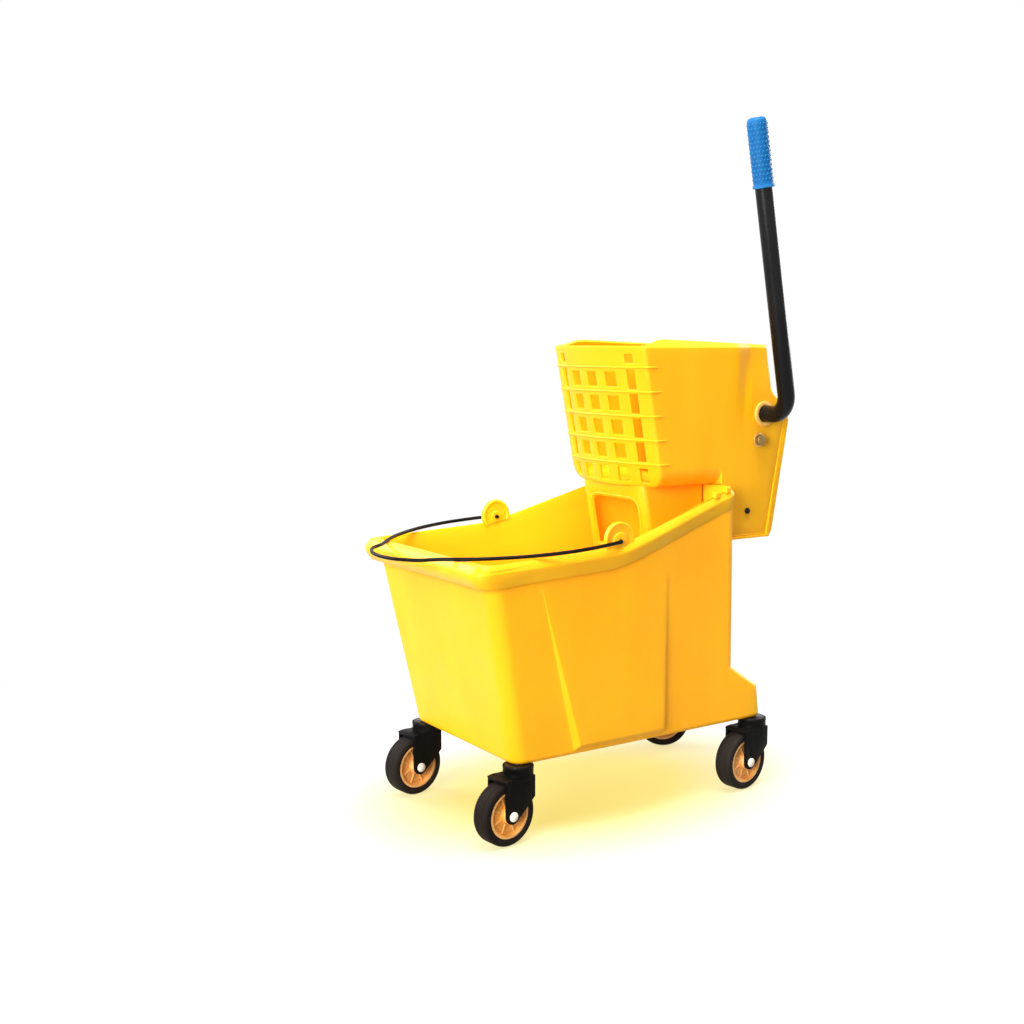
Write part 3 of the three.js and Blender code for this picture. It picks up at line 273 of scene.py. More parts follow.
def lathe(name, profile, steps, axis_point=(0, 0, 0), axis="y", closed=True):
    """A turned solid about an axis through a point; profile holds (radius, along)."""
    verts = []
    for i in range(steps):
        angle = 2 * math.pi * i / steps
        for radius, along in profile:
            c, s = radius * math.cos(angle), radius * math.sin(angle)
            point = (c, along, s) if axis == "y" else (c, s, along)
            verts.append(tuple(p + q for p, q in zip(point, axis_point)))
    return mesh_object(name, verts, quads(steps, len(profile), closed, True))


def sweep(name, points, radius, sides=20, caps=True):
    """A round bar along a row of points; radius is one number or one for each point."""
    path = [Vector(p) for p in points]
    radii = radius if isinstance(radius, list) else [radius] * len(path)
    normal = (path[1] - path[0]).normalized().orthogonal().normalized()
    verts = []
    for i, point in enumerate(path):
        ahead = path[min(i + 1, len(path) - 1)] - path[max(i - 1, 0)]
        ahead.normalize()
        normal = (normal - ahead * normal.dot(ahead)).normalized()
        side = ahead.cross(normal)
        for k in range(sides):
            a = 2 * math.pi * k / sides
            verts.append(tuple(point + (normal * math.cos(a) + side * math.sin(a)) * radii[i]))
    faces = quads(len(path), sides)
    if caps:
        faces.append(tuple(range(sides))[::-1])
        faces.append(tuple((len(path) - 1) * sides + k for k in range(sides)))
    return mesh_object(name, verts, faces)


def catmull(points, steps):
    """A smooth curve through points."""
    out = []
    pts = [Vector(p) for p in points]
    for i in range(len(pts) - 1):
        p0, p1, p2 = pts[max(i - 1, 0)], pts[i], pts[i + 1]
        p3 = pts[min(i + 2, len(pts) - 1)]
        for k in range(steps):
            t = k / steps
            out.append(0.5 * ((2 * p1) + (p2 - p0) * t + (2 * p0 - 5 * p1 + 4 * p2 - p3) * t * t
                              + (3 * p1 - p0 - 3 * p2 + p3) * t ** 3))
    return out + [pts[-1]]


# ---- materials

def link(tree, a, b):
    tree.links.new(a, b)


class Mat:
    """A material under construction, with one Principled shader."""

    def __init__(self, name):
        self.material = bpy.data.materials.new(name)
        self.material.use_nodes = True
        self.tree = self.material.node_tree
        self.bsdf = next(n for n in self.tree.nodes if n.type == "BSDF_PRINCIPLED")
        self.coords = self.tree.nodes.new("ShaderNodeTexCoord")

    def node(self, kind, **settings):
        made = self.tree.nodes.new(kind)
        for key, value in settings.items():
            if key in made.inputs:
                made.inputs[key].default_value = value
            else:
                setattr(made, key, value)
        return made

    def set(self, **values):
        for key, value in values.items():
            self.bsdf.inputs[key.replace("_", " ")].default_value = value
        return self

    def placed(self, scale=(1, 1, 1), rotation=(0, 0, 0), middle=(0, 0, 0)):
        mapping = self.node("ShaderNodeMapping")
        mapping.inputs["Location"].default_value = middle
        mapping.inputs["Scale"].default_value = scale
        mapping.inputs["Rotation"].default_value = rotation
        link(self.tree, self.coords.outputs["Object"], mapping.inputs["Vector"])
        return mapping.outputs["Vector"]

    def noise(self, scale, detail=3.0, roughness=0.5, stretch=(1, 1, 1), rotation=(0, 0, 0)):
        made = self.node("ShaderNodeTexNoise", Scale=scale, Detail=detail, Roughness=roughness)
        link(self.tree, self.placed(stretch, rotation), made.inputs["Vector"])
        return made.outputs["Fac"]

    def ramp(self, source, low, high, a, b):
        made = self.node("ShaderNodeMapRange")
        for key, value in (("From Min", low), ("From Max", high), ("To Min", a), ("To Max", b)):
            made.inputs[key].default_value = value
        link(self.tree, source, made.inputs["Value"])
        return made.outputs["Result"]

    def math(self, operation, a, b):
        made = self.node("ShaderNodeMath", operation=operation)
        for index, value in enumerate((a, b)):
            if isinstance(value, (int, float)):
                made.inputs[index].default_value = value
            else:
                link(self.tree, value, made.inputs[index])
        return made.outputs["Value"]

    def mixed(self, factor, a, b):
        made = self.node("ShaderNodeMix", data_type="RGBA")
        sockets = {s.name: s for s in made.inputs if s.type == "RGBA"}
        for key, value in (("A", a), ("B", b)):
            if isinstance(value, tuple):
                sockets[key].default_value = (*value, 1)
            else:
                link(self.tree, value, sockets[key])
        link(self.tree, factor, made.inputs["Factor"])
        return next(s for s in made.outputs if s.type == "RGBA")

    def colour(self, source):
        link(self.tree, source, self.bsdf.inputs["Base Color"])
        return self

    def roughness(self, source):
        link(self.tree, source, self.bsdf.inputs["Roughness"])
        return self

    def bump(self, *layers):
        """Stacked bumps of (height, depth in millimetres)."""
        normal = None
        for height, depth in layers:
            made = self.node("ShaderNodeBump", Strength=1.0, Distance=depth * MM)
            link(self.tree, height, made.inputs["Height"])
            if normal:
                link(self.tree, normal, made.inputs["Normal"])
            normal = made.outputs["Normal"]
        link(self.tree, normal, self.bsdf.inputs["Normal"])
        return self

    def length(self, vector):
        made = self.node("ShaderNodeVectorMath", operation="LENGTH")
        link(self.tree, vector, made.inputs[0])
        return made.outputs["Value"]

    def edges(self):
        """1 along outer edges, 0 elsewhere."""
        geometry = self.node("ShaderNodeNewGeometry")
        return self.ramp(geometry.outputs["Pointiness"], 0.52, 0.6, 0, 1)


def moulded(name, base, light, dark, roughness=0.36, orange_peel=0.05, edge_wear_and_highlight=0.35, gloss=0.25,
            hollow=None):
    """Moulded plastic: slow colour drift, flow marks, fine peel, lightened edges (partly rubbed
    wear, partly a painted highlight) and dull scuffs.
    Walls that face the middle of a hollow, at x = hollow, are painted a paler yellow: painted
    light, standing in for light that comes in through the walls."""
    m = Mat(name)
    m.set(Specular_IOR_Level=gloss)
    drift = m.ramp(m.noise(7, 2), 0.35, 0.65, 0, 1)
    body = m.mixed(drift, base, dark)
    flow = m.ramp(m.noise(16, 4, 0.6, (1, 1, 0.16)), 0.45, 0.75, 0, 0.5)
    body = m.mixed(flow, body, light)
    # Edges are lightened towards the light colour: partly rubbed wear, partly a painted highlight
    # along them.
    edge = m.math("MULTIPLY", m.edges(), edge_wear_and_highlight)
    body = m.mixed(edge, body, light)
    scuff = m.ramp(m.noise(60, 8, 0.7, (1, 1, 2.4)), 0.56, 0.7, 0, 1)
    # Painted light: faces turned towards the hollow's middle are mixed towards a paler yellow.
    if hollow is not None:
        facing = m.node("ShaderNodeVectorMath", operation="DOT_PRODUCT")
        link(m.tree, m.coords.outputs["Normal"], facing.inputs[0])
        link(m.tree, m.placed((1, 1, 0), middle=(-hollow, 0, 0)), facing.inputs[1])
        painted_inside_light = m.ramp(facing.outputs["Value"], -0.02, -0.05, 0, 1)
        body = m.mixed(painted_inside_light, body, INSIDE_LIGHT_YELLOW)
    m.colour(body)
    smudge = m.ramp(m.noise(22, 3), 0.3, 0.7, roughness - 0.05, roughness + 0.06)
    m.roughness(m.math("ADD", smudge, m.math("MULTIPLY", scuff, 0.1)))
    peel = m.noise(420, 2, 0.4)
    scratch = m.ramp(m.noise(240, 2, 0.5, (1, 1, 0.03), (0.2, 0.3, 0.1)), 0.62, 0.72, 1, 0)
    return m.bump((peel, orange_peel), (scratch, 0.02), (m.noise(26, 2), 0.25)).material


def metal(name, base, roughness, brushed=(1, 1, 0.05), spots=0.3):
    m = Mat(name)
    m.set(Metallic=1.0)
    cloud = m.ramp(m.noise(90, 4), 0.35, 0.7, 0, spots)
    m.colour(m.mixed(cloud, base, tuple(c * 0.72 for c in base)))
    m.roughness(m.ramp(m.noise(160, 3, 0.5), 0.3, 0.7, roughness - 0.06, roughness + 0.1))
    return m.bump((m.noise(900, 2, 0.5, brushed), 0.015)).material


def yellow(name, hollow):
    made = moulded(name, (0.98, 0.45, 0.006), (1.0, 0.52, 0.015), (0.97, 0.42, 0.005),
                   gloss=0.18, hollow=hollow)
    shader = next(n for n in made.node_tree.nodes if n.type == "BSDF_PRINCIPLED")
    for socket, value in (("Subsurface Weight", 0.35), ("Subsurface Radius", (1.0, 0.85, 0.05)),
                          ("Subsurface Scale", 0.008)):
        shader.inputs[socket].default_value = value
    return made


# Paler yellow painted on walls that face a hollow: painted light coming in through the walls.
INSIDE_LIGHT_YELLOW = (0.99, 0.56, 0.012)
YELLOW = yellow("yellow_moulded", 0.0)
WRINGER_YELLOW = yellow("yellow_moulded_wringer", 0.15)
BLACK_NYLON = moulded("black_nylon", (0.003, 0.0025, 0.002), (0.014, 0.013, 0.012),
                      (0.002, 0.002, 0.002), 0.4, 0.09, 0.5, 0.035)
# The hub's pale outer ring comes from the edge lightening: a painted highlight, with some wear.
HUB = moulded("hub_orange", (0.78, 0.32, 0.045), (0.95, 0.6, 0.26), (0.72, 0.27, 0.035), 0.4,
              edge_wear_and_highlight=0.8)
TYRE = moulded("tyre_rubber", (0.009, 0.006, 0.005), (0.036, 0.03, 0.026), (0.013, 0.01, 0.008),
               0.62, 0.12, 0.4, 0.05)
VINYL = moulded("blue_vinyl", (0.002, 0.095, 0.31), (0.03, 0.23, 0.45), (0.001, 0.075, 0.26),
                0.5, 0.1, 0.6, 0.12)
PAINT = moulded("black_powder_coat", (0.004, 0.004, 0.004), (0.02, 0.02, 0.02),
                (0.006, 0.006, 0.006), 0.2, 0.06, 0.3, 0.12)
WIRE = moulded("bail_dip_coat", (0.006, 0.005, 0.004), (0.025, 0.02, 0.016), (0.005, 0.004, 0.003),
               0.34, 0.05, 0.3, 0.05)
NYLON = moulded("natural_nylon", (0.9, 0.48, 0.09), (0.95, 0.56, 0.16), (0.86, 0.43, 0.07), 0.4)
RUBBER = moulded("black_rubber", (0.02, 0.02, 0.02), (0.05, 0.05, 0.05), (0.014, 0.014, 0.014),
                 0.7)
AXLE_CAP = moulded("axle_cap_nylon", (0.86, 0.8, 0.66), (0.95, 0.92, 0.84), (0.8, 0.72, 0.58),
                   0.32)
# These zincs are tinted warm yellow-brown: a painted reflection of the yellow plastic round them.
ZINC = metal("zinc_plate", (0.56, 0.46, 0.30), 0.3)
WASHER_ZINC = metal("washer_zinc", (0.74, 0.48, 0.17), 0.42)
BOLT_ZINC = metal("bolt_zinc", (0.3, 0.2, 0.07), 0.4)
SPRING = metal("spring_wire", (0.42, 0.43, 0.46), 0.26)


# ---- bucket

def tub_plan(z):
    """The tub's plan at a height: front, rear, half widths there and corner radii there."""
    rise = clamp((z - TUB_Z) / (RIM_FRONT_Z - TUB_Z))
    if z <= FOOT_TOP_Z:
        rear = mix(TUB_REAR, TUB_REAR - FOOT_LEAN, (z - TUB_Z) / (FOOT_TOP_Z - TUB_Z))
    elif z <= FOOT_WALL_Z:
        t = (z - FOOT_TOP_Z) / (FOOT_WALL_Z - FOOT_TOP_Z)
        rear = mix(TUB_REAR - FOOT_LEAN, FOOT_WALL_X, t)
    else:
        top = rim_height(RIM_REAR_X)
        rear = mix(FOOT_WALL_X, REAR_WALL_TOP_X, clamp((z - FOOT_WALL_Z) / (top - FOOT_WALL_Z)))
    return (TUB_FRONT - TUB_LEAN * rise, rear, mix(*TUB_HALF, rise), mix(*TUB_REAR_HALF, rise),
            TUB_CORNER, CORNER_REAR)


def rim_plan(_z):
    return RIM_FRONT_X, RIM_REAR_X, *RIM_HALF, RIM_CORNER, CORNER_REAR


def inset_plan(plan, inset):
    front, rear, half, rear_half, *radii = plan
    return (front + inset, rear - inset, half - inset, rear_half - inset,
            *(max(radius - inset, 0.5) for radius in radii))


def half_at(plan, x):
    _, rear, half, rear_half, *_ = plan
    return mix(half, rear_half, smooth((x - TAPER_X) / (rear - TAPER_X)))


FRONT_STEPS, ARC_STEPS, REAR_STEPS = 16, 8, 12
# Along a side: before the panel, its front edge, the panel, its rear edge, behind it.
SIDE_STEPS = (8, 2, 22, 1, 16)


def tub_columns():
    """Columns of one half of the tub, from the front's middle round to the rear's middle."""
    columns = [("front", i / FRONT_STEPS) for i in range(FRONT_STEPS)]
    columns += [("arc_front", i / ARC_STEPS) for i in range(ARC_STEPS + 1)]
    for part, steps in enumerate(SIDE_STEPS):
        last = part == len(SIDE_STEPS) - 1
        columns += [("side", part + i / steps) for i in range(1, steps + (0 if last else 1))]
    columns += [("arc_rear", i / ARC_STEPS) for i in range(ARC_STEPS + 1)]
    columns += [("rear", i / REAR_STEPS) for i in range(1, REAR_STEPS + 1)]
    return columns


def panel_proud(z):
    low, high = PANEL_Z
    if z < low:
        return PANEL_PROUD * clamp((z - (low - PANEL_PROUD)) / PANEL_PROUD)
    return PANEL_PROUD * clamp((high - z) / (high - low))


def column_point(plan, column, z, proud):
    """One point of the near half in plan; y is positive here and mirrored later."""
    kind, t = column
    front, rear, _, _, fr, rr = plan
    front_y = half_at(plan, front + fr) - fr
    rear_y = half_at(plan, rear - rr) - rr
    a = t * math.pi / 2
    if kind == "front":
        return front, front_y * t
    if kind == "arc_front":
        return front + fr * (1 - math.cos(a)), front_y + fr * math.sin(a)
    if kind == "arc_rear":
        return rear - rr * (1 - math.sin(a)), rear_y + rr * math.cos(a)
    if kind == "rear":
        return rear, rear_y * (1 - t)
    raise_by = panel_proud(z) if proud else 0.0
    panel_front = mix(*PANEL_FRONT_X, (z - PANEL_Z[0]) / (PANEL_Z[1] - PANEL_Z[0]))
    panel_front = max(panel_front, front + fr + 12)
    stops = [front + fr, panel_front, panel_front + 0.5 + 0.65 * panel_proud(z), PANEL_REAR_X,
             PANEL_REAR_X + 1.4, rear - rr]
    part = min(int(t), len(SIDE_STEPS) - 1)
    share = t - part
    x = mix(stops[part], stops[part + 1], share)
    offset = {1: share, 2: 1.0, 3: 1.0 - share}.get(part, 0.0) * raise_by
    return x, half_at(plan, x) + offset


def tub_ring(plan_of, height_of, inset=0.0, proud=False):
    """A closed ring; height_of(x) gives each point's height, plan_of(z) the plan there."""
    half = []
    for column in tub_columns():
        z = height_of(0.0)
        for _ in range(4):
            x, y = column_point(inset_plan(plan_of(z), inset), column, z, proud)
            z = height_of(x)
        half.append((x, y, z))
    return [(x, -y, z) for x, y, z in half] + half[-2:0:-1]


def loft_faces(rings):
    count = len(rings[0])
    last = (len(rings) - 1) * count
    return [*quads(len(rings), count), tuple(range(count))[::-1],
            tuple(range(last, last + count))]


def level(z):
    return lambda x: z


def under_rim(drop):
    return lambda x: rim_height(x) - drop


def between(inner, outer, share_of):
    """A ring partly out from one ring to another, at the outer one's heights."""
    ring = []
    for p, q in zip(inner, outer):
        share = share_of(math.hypot(q[0] - p[0], q[1] - p[1]))
        ring.append((mix(p[0], q[0], share), mix(p[1], q[1], share), q[2]))
    return ring


def tub_outside():
    """Rings up the outside of the tub, from the rounded foot to under the rim."""
    rings = [tub_ring(tub_plan, level(TUB_Z + TUB_EDGE * (1 - c)), TUB_EDGE * (1 - s))
             for c, s in quarter(4)]
    for z in (PANEL_Z[0] - PANEL_PROUD + 0.6, 102, PANEL_Z[0], 113, 120, 127, FOOT_TOP_Z,
              142, 150, 158, FOOT_WALL_Z):
        rings.append(tub_ring(tub_plan, level(z), 0, True))
    steps = 24
    for k in range(1, steps + 1):
        rings.append(tub_ring(tub_plan, lambda x, t=k / steps:
                              mix(FOOT_WALL_Z, rim_height(x) - RIM_TOP, t), 0, True))
    return rings


def skirt_rings(tub_top):
    """Rings down the inner face of the rim's skirt and up its outer face."""
    rings = []
    # The inner face keeps outside the tub where the two run close together.
    for drop, most in ((RIM_TOP, 1.0), (RIM_SKIRT, 0.5)):
        rings.append(between(tub_top, tub_ring(rim_plan, under_rim(drop)), lambda gap, most=most:
                             max(most - WALL / max(gap, 0.001), 0.08)))
    for drop, *shares in SKIRT:
        rings.append(between(tub_top, tub_ring(rim_plan, under_rim(drop)),
                             lambda gap, shares=shares: mix(*shares, clamp(
                                 (gap - SKIRT_GAP[0]) / (SKIRT_GAP[1] - SKIRT_GAP[0])))))
    return rings


def rim_rings():
    """Rings over the rim's rounded outer edge and down into the tub's mouth."""
    width, depth = RIM_ROUND
    rings = [tub_ring(rim_plan, under_rim(depth + 1.2))]
    rings += [tub_ring(rim_plan, under_rim(depth * (1 - s ** RIM_FULLNESS)),
                       width * (1 - c ** RIM_FULLNESS)) for c, s in quarter(7)]
    rings += [tub_ring(tub_plan, under_rim(RIM_LIP * (1 - c)), WALL - RIM_LIP * (1 - s))
              for c, s in quarter(3)]
    return rings


def tub_inside():
    """Rings down the inside of the tub to its floor."""
    steps = 11
    rings = [tub_ring(tub_plan, lambda x, t=k / steps:
                      mix(rim_height(x) - RIM_LIP, FOOT_WALL_Z, t), WALL)
             for k in range(1, steps + 1)]
    rings += [tub_ring(tub_plan, level(z), WALL)
              for z in (FOOT_TOP_Z - 1.5, 115, TUB_INSIDE_Z)]
    rings += [tub_ring(tub_plan, level(TUB_INSIDE_Z - TUB_INSIDE_ROUND * s),
                       WALL + TUB_INSIDE_ROUND * (1 - c)) for c, s in quarter(4)]
    return rings


def bucket_shell():
    outside = tub_outside()
    rings = [*outside, *skirt_rings(outside[-1]), *rim_rings(), *tub_inside()]
    verts = [point for ring in rings for point in ring]
    return bevel(mesh_object("bucket_tub", verts, loft_faces(rings)), 0.6, 28, 2)


# Half an ear's section: radius, and how far out from the ear's face.
EAR_PROFILE = (
    (EAR_RADIUS - 0.8, 0.0), (EAR_RADIUS, -0.8), (EAR_RADIUS, -5.2), (EAR_RADIUS - 0.8, -6.0),
    (EAR_RADIUS - 3.4, -6.0), (EAR_RADIUS - 4.2, -5.0), (8.2, -5.0), (7.4, -6.0), (3.1, -6.0),
    (2.7, -5.5), (2.7, 0.4), (3.1, 0.8), (9.8, 0.8), (10.8, 0.4), (11.4, -0.4),
    (EAR_RADIUS - 4.2, -0.4), (EAR_RADIUS - 3.2, 0.0))


def ear_piece(side):
    """One bail ear: a round plate with a raised border and a boss round the wire's hole."""
    steps, boss, plate_z = 40, 12.0, BAIL_Z + 2
    verts = []
    for i in range(steps):
        a = 2 * math.pi * i / steps
        for radius, out in EAR_PROFILE:
            centre_z = plate_z if radius > boss else BAIL_Z
            verts.append((BAIL_X + radius * math.cos(a), side * (EAR_HALF + out),
                          centre_z + radius * math.sin(a)))
    plate = mesh_object(f"ear_{side}", verts, quads(steps, len(EAR_PROFILE), True, True))
    return cut_under_rim(plate)


def cut_under_rim(plate):
    """The ear's plate, closed off just inside the rim's top."""
    low = bmesh.new()
    low.from_mesh(plate.data)
    cut = bmesh.ops.bisect_plane(
        low, geom=low.verts[:] + low.edges[:] + low.faces[:],
        plane_co=(BAIL_X * MM, 0, (rim_height(BAIL_X) - 2.6) * MM),
        plane_no=(-0.18, 0, 1), clear_inner=True)
    edges = [e for e in cut["geom_cut"] if isinstance(e, bmesh.types.BMEdge)]
    bmesh.ops.holes_fill(low, edges=edges)
    low.to_mesh(plate.data)
    low.free()
    return plate


def block(name, x0, x1, y0, y1, z0, z1, width=0.8):
    verts = [(x, y, z) for x in (x0, x1) for y in (y0, y1) for z in (z0, z1)]
    faces = [(0, 1, 3, 2), (4, 6, 7, 5), (0, 4, 5, 1), (2, 3, 7, 6), (0, 2, 6, 4), (1, 5, 7, 3)]
    return bevel(mesh_object(name, verts, faces), width, 30, 3)


def kept_inside(point, inset=1.0):
    """The point, or the nearest one inside the tub's wall."""
    x, y, z = point
    plan = inset_plan(tub_plan(z), inset)
    front, rear, _, _, *radii = plan
    ahead = abs(x - front) < abs(x - rear)
    radius = radii[0] if ahead else radii[1]
    turn_x = front + radius if ahead else rear - radius
    turn_y = half_at(plan, turn_x) - radius
    x = min(max(x, front), rear)
    out_y = min(abs(y), turn_y + radius)
    over_x, over_y = (turn_x - x if ahead else x - turn_x), out_y - turn_y
    far = math.hypot(over_x, over_y)
    if over_x > 0 and over_y > 0 and far > radius:
        x = turn_x + (x - turn_x) * radius / far
        out_y = turn_y + over_y * radius / far
    return Vector((x, math.copysign(out_y, y), z))


def rim_half(x):
    return mix(*RIM_HALF, smooth((x - TAPER_X) / (RIM_REAR_X - TAPER_X)))


def rim_lugs(side):
    """The two small lugs at the rear end of a side rim."""
    lugs = []
    for x in (132.0, 151.0):
        y, z = side * (rim_half(x) - 4.5), rim_height(x)
        lugs.append(block("lug", x - 4, x + 4, y - 3.5, y + 3.5, z - 3, z + 5, 1.1))
    return lugs


def caster_sockets(side):
    """The round bosses inside the tub's floor that take the casters' stems."""
    sockets = []
    for x in (CASTER_FRONT_X, CASTER_REAR_X):
        socket = lathe("socket", [(radius, TUB_Z + rise) for radius, rise in (
            (0.01, 30), (11.0, 30), (12.2, 29.2), (12.5, 28), (12.5, 6.5), (13.6, 4.6),
            (14.4, 3.9), (0.01, 3.6))], 28, (x, side * CASTER_Y, 0), "z")
        for vertex in socket.data.vertices:
            vertex.co = kept_inside(vertex.co / MM) * MM
        sockets.append(socket)
    return sockets


def under_ribs():
    """Stiffening ribs under the tub."""
    low, high = TUB_Z - 2.6, TUB_Z + 1
    ribs = [block("rib", -120, 180, y - 1.5, y + 1.5, low, high, 0.7) for y in (-60, 0, 60)]
    ribs += [block("rib", x - 1.5, x + 1.5, -88, 88, low, high, 0.7)
             for x in (-100, -20, 60, 140)]
    return joined("bucket_under_ribs", ribs)


def bucket_pieces():
    finish_piece(bucket_shell(), "bucket", YELLOW, ("bucket_shell",), 28)
    parts = []
    for side in (-1, 1):
        parts += [ear_piece(side), *rim_lugs(side), *caster_sockets(side)]
    trim = joined("bucket_trim", parts)
    finish_piece(trim, "bucket", YELLOW, (), 36)
    finish_piece(under_ribs(), "bucket", YELLOW, (), 36)


# ---- bail

# Half of the bail's bow, as shares of its reach and of its half width.
BAIL_SHARES = ((0.14, 0.993), (0.28, 1), (0.42, 0.957), (0.54, 0.88), (0.63, 0.795), (0.7, 0.715),
               (0.77, 0.605), (0.835, 0.485), (0.88, 0.43), (0.92, 0.385), (0.955, 0.3),
               (0.988, 0.165))


def bail_piece():
    pivot, half, bend = EAR_HALF + 4.0, EAR_HALF + 9.4, BAIL_BEND
    line = [(0, EAR_HALF - 9), (0, pivot - bend), (bend / 3, pivot - bend * 0.3), (bend, pivot),
            (bend * 2.2, pivot + bend * 0.15)]
    line += [(a * BAIL_REACH, b * half) for a, b in BAIL_SHARES]
    droop = math.atan((BAIL_Z - WIRE_RADIUS - 0.3 - RIM_FRONT_Z) / (BAIL_X - RIM_FRONT_X))
    full = [(r, -y) for r, y in line] + [(BAIL_REACH, 0)] + line[::-1]
    points = [(BAIL_X - r * math.cos(droop), y, BAIL_Z - r * math.sin(droop)) for r, y in full]
    wire = sweep("bail_wire_fine", catmull(points, 6), WIRE_RADIUS, 16)
    bevel(wire, 0.6, 60, 2)
    finish_piece(wire, "bail", WIRE, ("bail_wire",), 50)


# ---- wringer body

def basket_front(z):
    return BASKET_FRONT_X + (BASKET_TOP_Z - z) * BASKET_LEAN


def cover_face(z):
    bx, bz = COVER_BULGE
    fx, fz = COVER_FOOT
    if z >= bz:
        return mix(bx, COVER_SHOULDER_X, (z - bz) / (COVER_TOP_Z - bz))
    return mix(fx, bx, (z - fz) / (bz - fz))


def rear_face(z):
    low_x, low_z = BASKET_REAR_LOW
    if z >= low_z:
        return mix(low_x, BASKET_REAR_TOP_X, (z - low_z) / (BASKET_TOP_Z - low_z))
    if z >= COVER_TOP_Z:
        return mix(COVER_SHOULDER_X, low_x, smooth((z - COVER_TOP_Z) / (low_z - COVER_TOP_Z)))
    return cover_face(z) - COVER_LIP


def arch_height(x):
    rise = smooth((x - BASKET_FRONT_X) / (BASKET_ARCH_X - BASKET_FRONT_X))
    fall = 1 - 0.85 * max(0.0, (x - BASKET_ARCH_X) / (BASKET_REAR_TOP_X - BASKET_ARCH_X))
    return BASKET_TOP_Z + BASKET_ARCH * rise * fall


def belly(z):
    share = max(0.0, 1 - (z - BASKET_FLOOR_Z) / (BELLY_ROUND * 1.3))
    return BELLY_ROUND * (1 - math.sqrt(max(0.0, 1 - 0.99 * share * share)))


def side_step(x, z):
    """How far a side wall stands in behind the step that runs down from its top edge."""
    low = mix(*STEP_LOW_Z, clamp(1 + 2 * (x - STEP_X) / STEP_RUN))
    deep = smooth((z - low) / (BASKET_TOP_Z - low))
    return STEP_DEPTH * deep * clamp(1 + (x - STEP_X) / STEP_RUN)


# Along a side: the basket, up to the housing, the housing to the step, behind the step.
BASKET_SIDE_STEPS = (14, 3, 16, 4)


def basket_columns():
    """Columns of the near half of the wall, from the grille's middle round to the back's."""
    columns = [("front", y) for y in GRILLE_Y]
    columns += [("corner", i / 5) for i in range(6)]
    for part, steps in enumerate(BASKET_SIDE_STEPS):
        columns += [("side", i / steps, part) for i in range(0 if part == 1 else 1, steps + 1)]
    columns += [("back_corner", i / 4) for i in range(1, 5)]
    columns += [("back", i / 8) for i in range(1, 9)]
    return columns


def basket_point(column, z, inset):
    """Near-half plan point of the basket wall, with y positive."""
    kind, t = column[:2]
    front, rear = basket_front(z) + inset, rear_face(z) - inset
    round_rear = BASKET_CORNER if z > COVER_TOP_Z else 0.8
    below_belly = kind in ("front", "corner") or (kind == "side" and (column[2], t) <= (1, 0))
    half = side_face(z) - inset - (belly(z) if below_belly else 0.0)
    arc_y = half - BASKET_CORNER
    if kind == "front":
        # The outermost columns give way to the corner, which moves in with the belly.
        y = min(t, arc_y - (83.5 - t) * 0.02) if t > 80 else t
        y = min(y, arc_y - 0.4 * (12 - GRILLE_Y.index(t)))
        return front - BASKET_BOW * (1 - (y / arc_y) ** 2), y
    if kind == "corner":
        a = t * math.pi / 2
        return front + BASKET_CORNER * (1 - math.cos(a)), arc_y + BASKET_CORNER * math.sin(a)
    if kind == "side":
        stops = (front + BASKET_CORNER, STEP_X - 2 * STEP_RUN - 1, HOUSING_FRONT_X + 0.02,
                 STEP_X + 3, rear - round_rear)
        x = mix(stops[column[2]], stops[column[2] + 1], t)
        return x, half - side_step(x, z)
    back_y = half - side_step(rear, z) - round_rear
    if kind == "back_corner":
        a = t * math.pi / 2
        return rear - round_rear * (1 - math.sin(a)), back_y + round_rear * math.cos(a)
    return rear, back_y * (1 - t)


def basket_levels():
    levels = {HOUSING_BOTTOM_Z, 345.0, 360.0, 380.0, BASKET_FLOOR_Z}
    levels |= {BASKET_FLOOR_Z + d for d in (0.7, 1.6, 3.0, 7.4, 11.0, 14.0, 17.5, 20.5)}
    for row in range(GRILLE_ROWS):
        middle = GRILLE_TOP_Z - row * GRILLE_ROW_PITCH
        levels |= {middle - HOLE_TALL, middle + HOLE_TALL}
        if row < GRILLE_ROWS - 1:
            levels |= {middle - SLOT_TALL, middle + SLOT_TALL, middle}
    levels |= {COVER_TOP_Z - 0.3, COVER_TOP_Z + 0.3, 500.0, 508.0, *TOP_SLOT_Z, 562.0}
    return sorted(levels)


def grille_open(column, z0, z1):
    """Whether the wall is open between this column and the next one, between two levels."""
    if column[0] != "front":
        return False
    y = column[1]

    def between_levels(low, high):
        return z0 >= low - 0.1 and z1 <= high + 0.1

    in_slot = SLOT_Y[0] - 0.05 < y < SLOT_Y[1] - 0.05
    in_hole = y < 9.4 or 26.4 < y < 45.4
    for row in range(GRILLE_ROWS):
        middle = GRILLE_TOP_Z - row * GRILLE_ROW_PITCH
        tall = HOLE_TALL if row == GRILLE_ROWS - 1 else SLOT_TALL
        if in_hole and between_levels(middle - HOLE_TALL, middle + HOLE_TALL):
            return True
        if in_slot and between_levels(middle - tall, middle + tall):
            return True
    return in_slot and between_levels(*TOP_SLOT_Z)


def wall_open(column, following, z0, z1):
    """The wall has openings for the grille, under the basket's floor and behind the cover."""
    on_housing = column[0] == "side" and (column[2], column[1]) >= (1, 1)
    if z1 <= BASKET_FLOOR_Z + 0.01 and not on_housing:
        return True
    behind = column[0] in ("back_corner", "back") or following[0] == "back_corner"
    return (behind and z1 <= COVER_TOP_Z - 0.2) or grille_open(column, z0, z1)


def basket_lip(columns, share):
    """A row of the lip, which leans in over a level line up to the arch of its top edge."""
    row = []
    for column in columns:
        x, y = basket_point(column, BASKET_TOP_Z, 0)
        z = mix(BASKET_LIP_Z, arch_height(x), share)
        lean = 0.0 if column[0] == "front" else BASKET_LIP_LEAN * (z - BASKET_LIP_Z)
        row.append((x, y - lean, z))
    return row


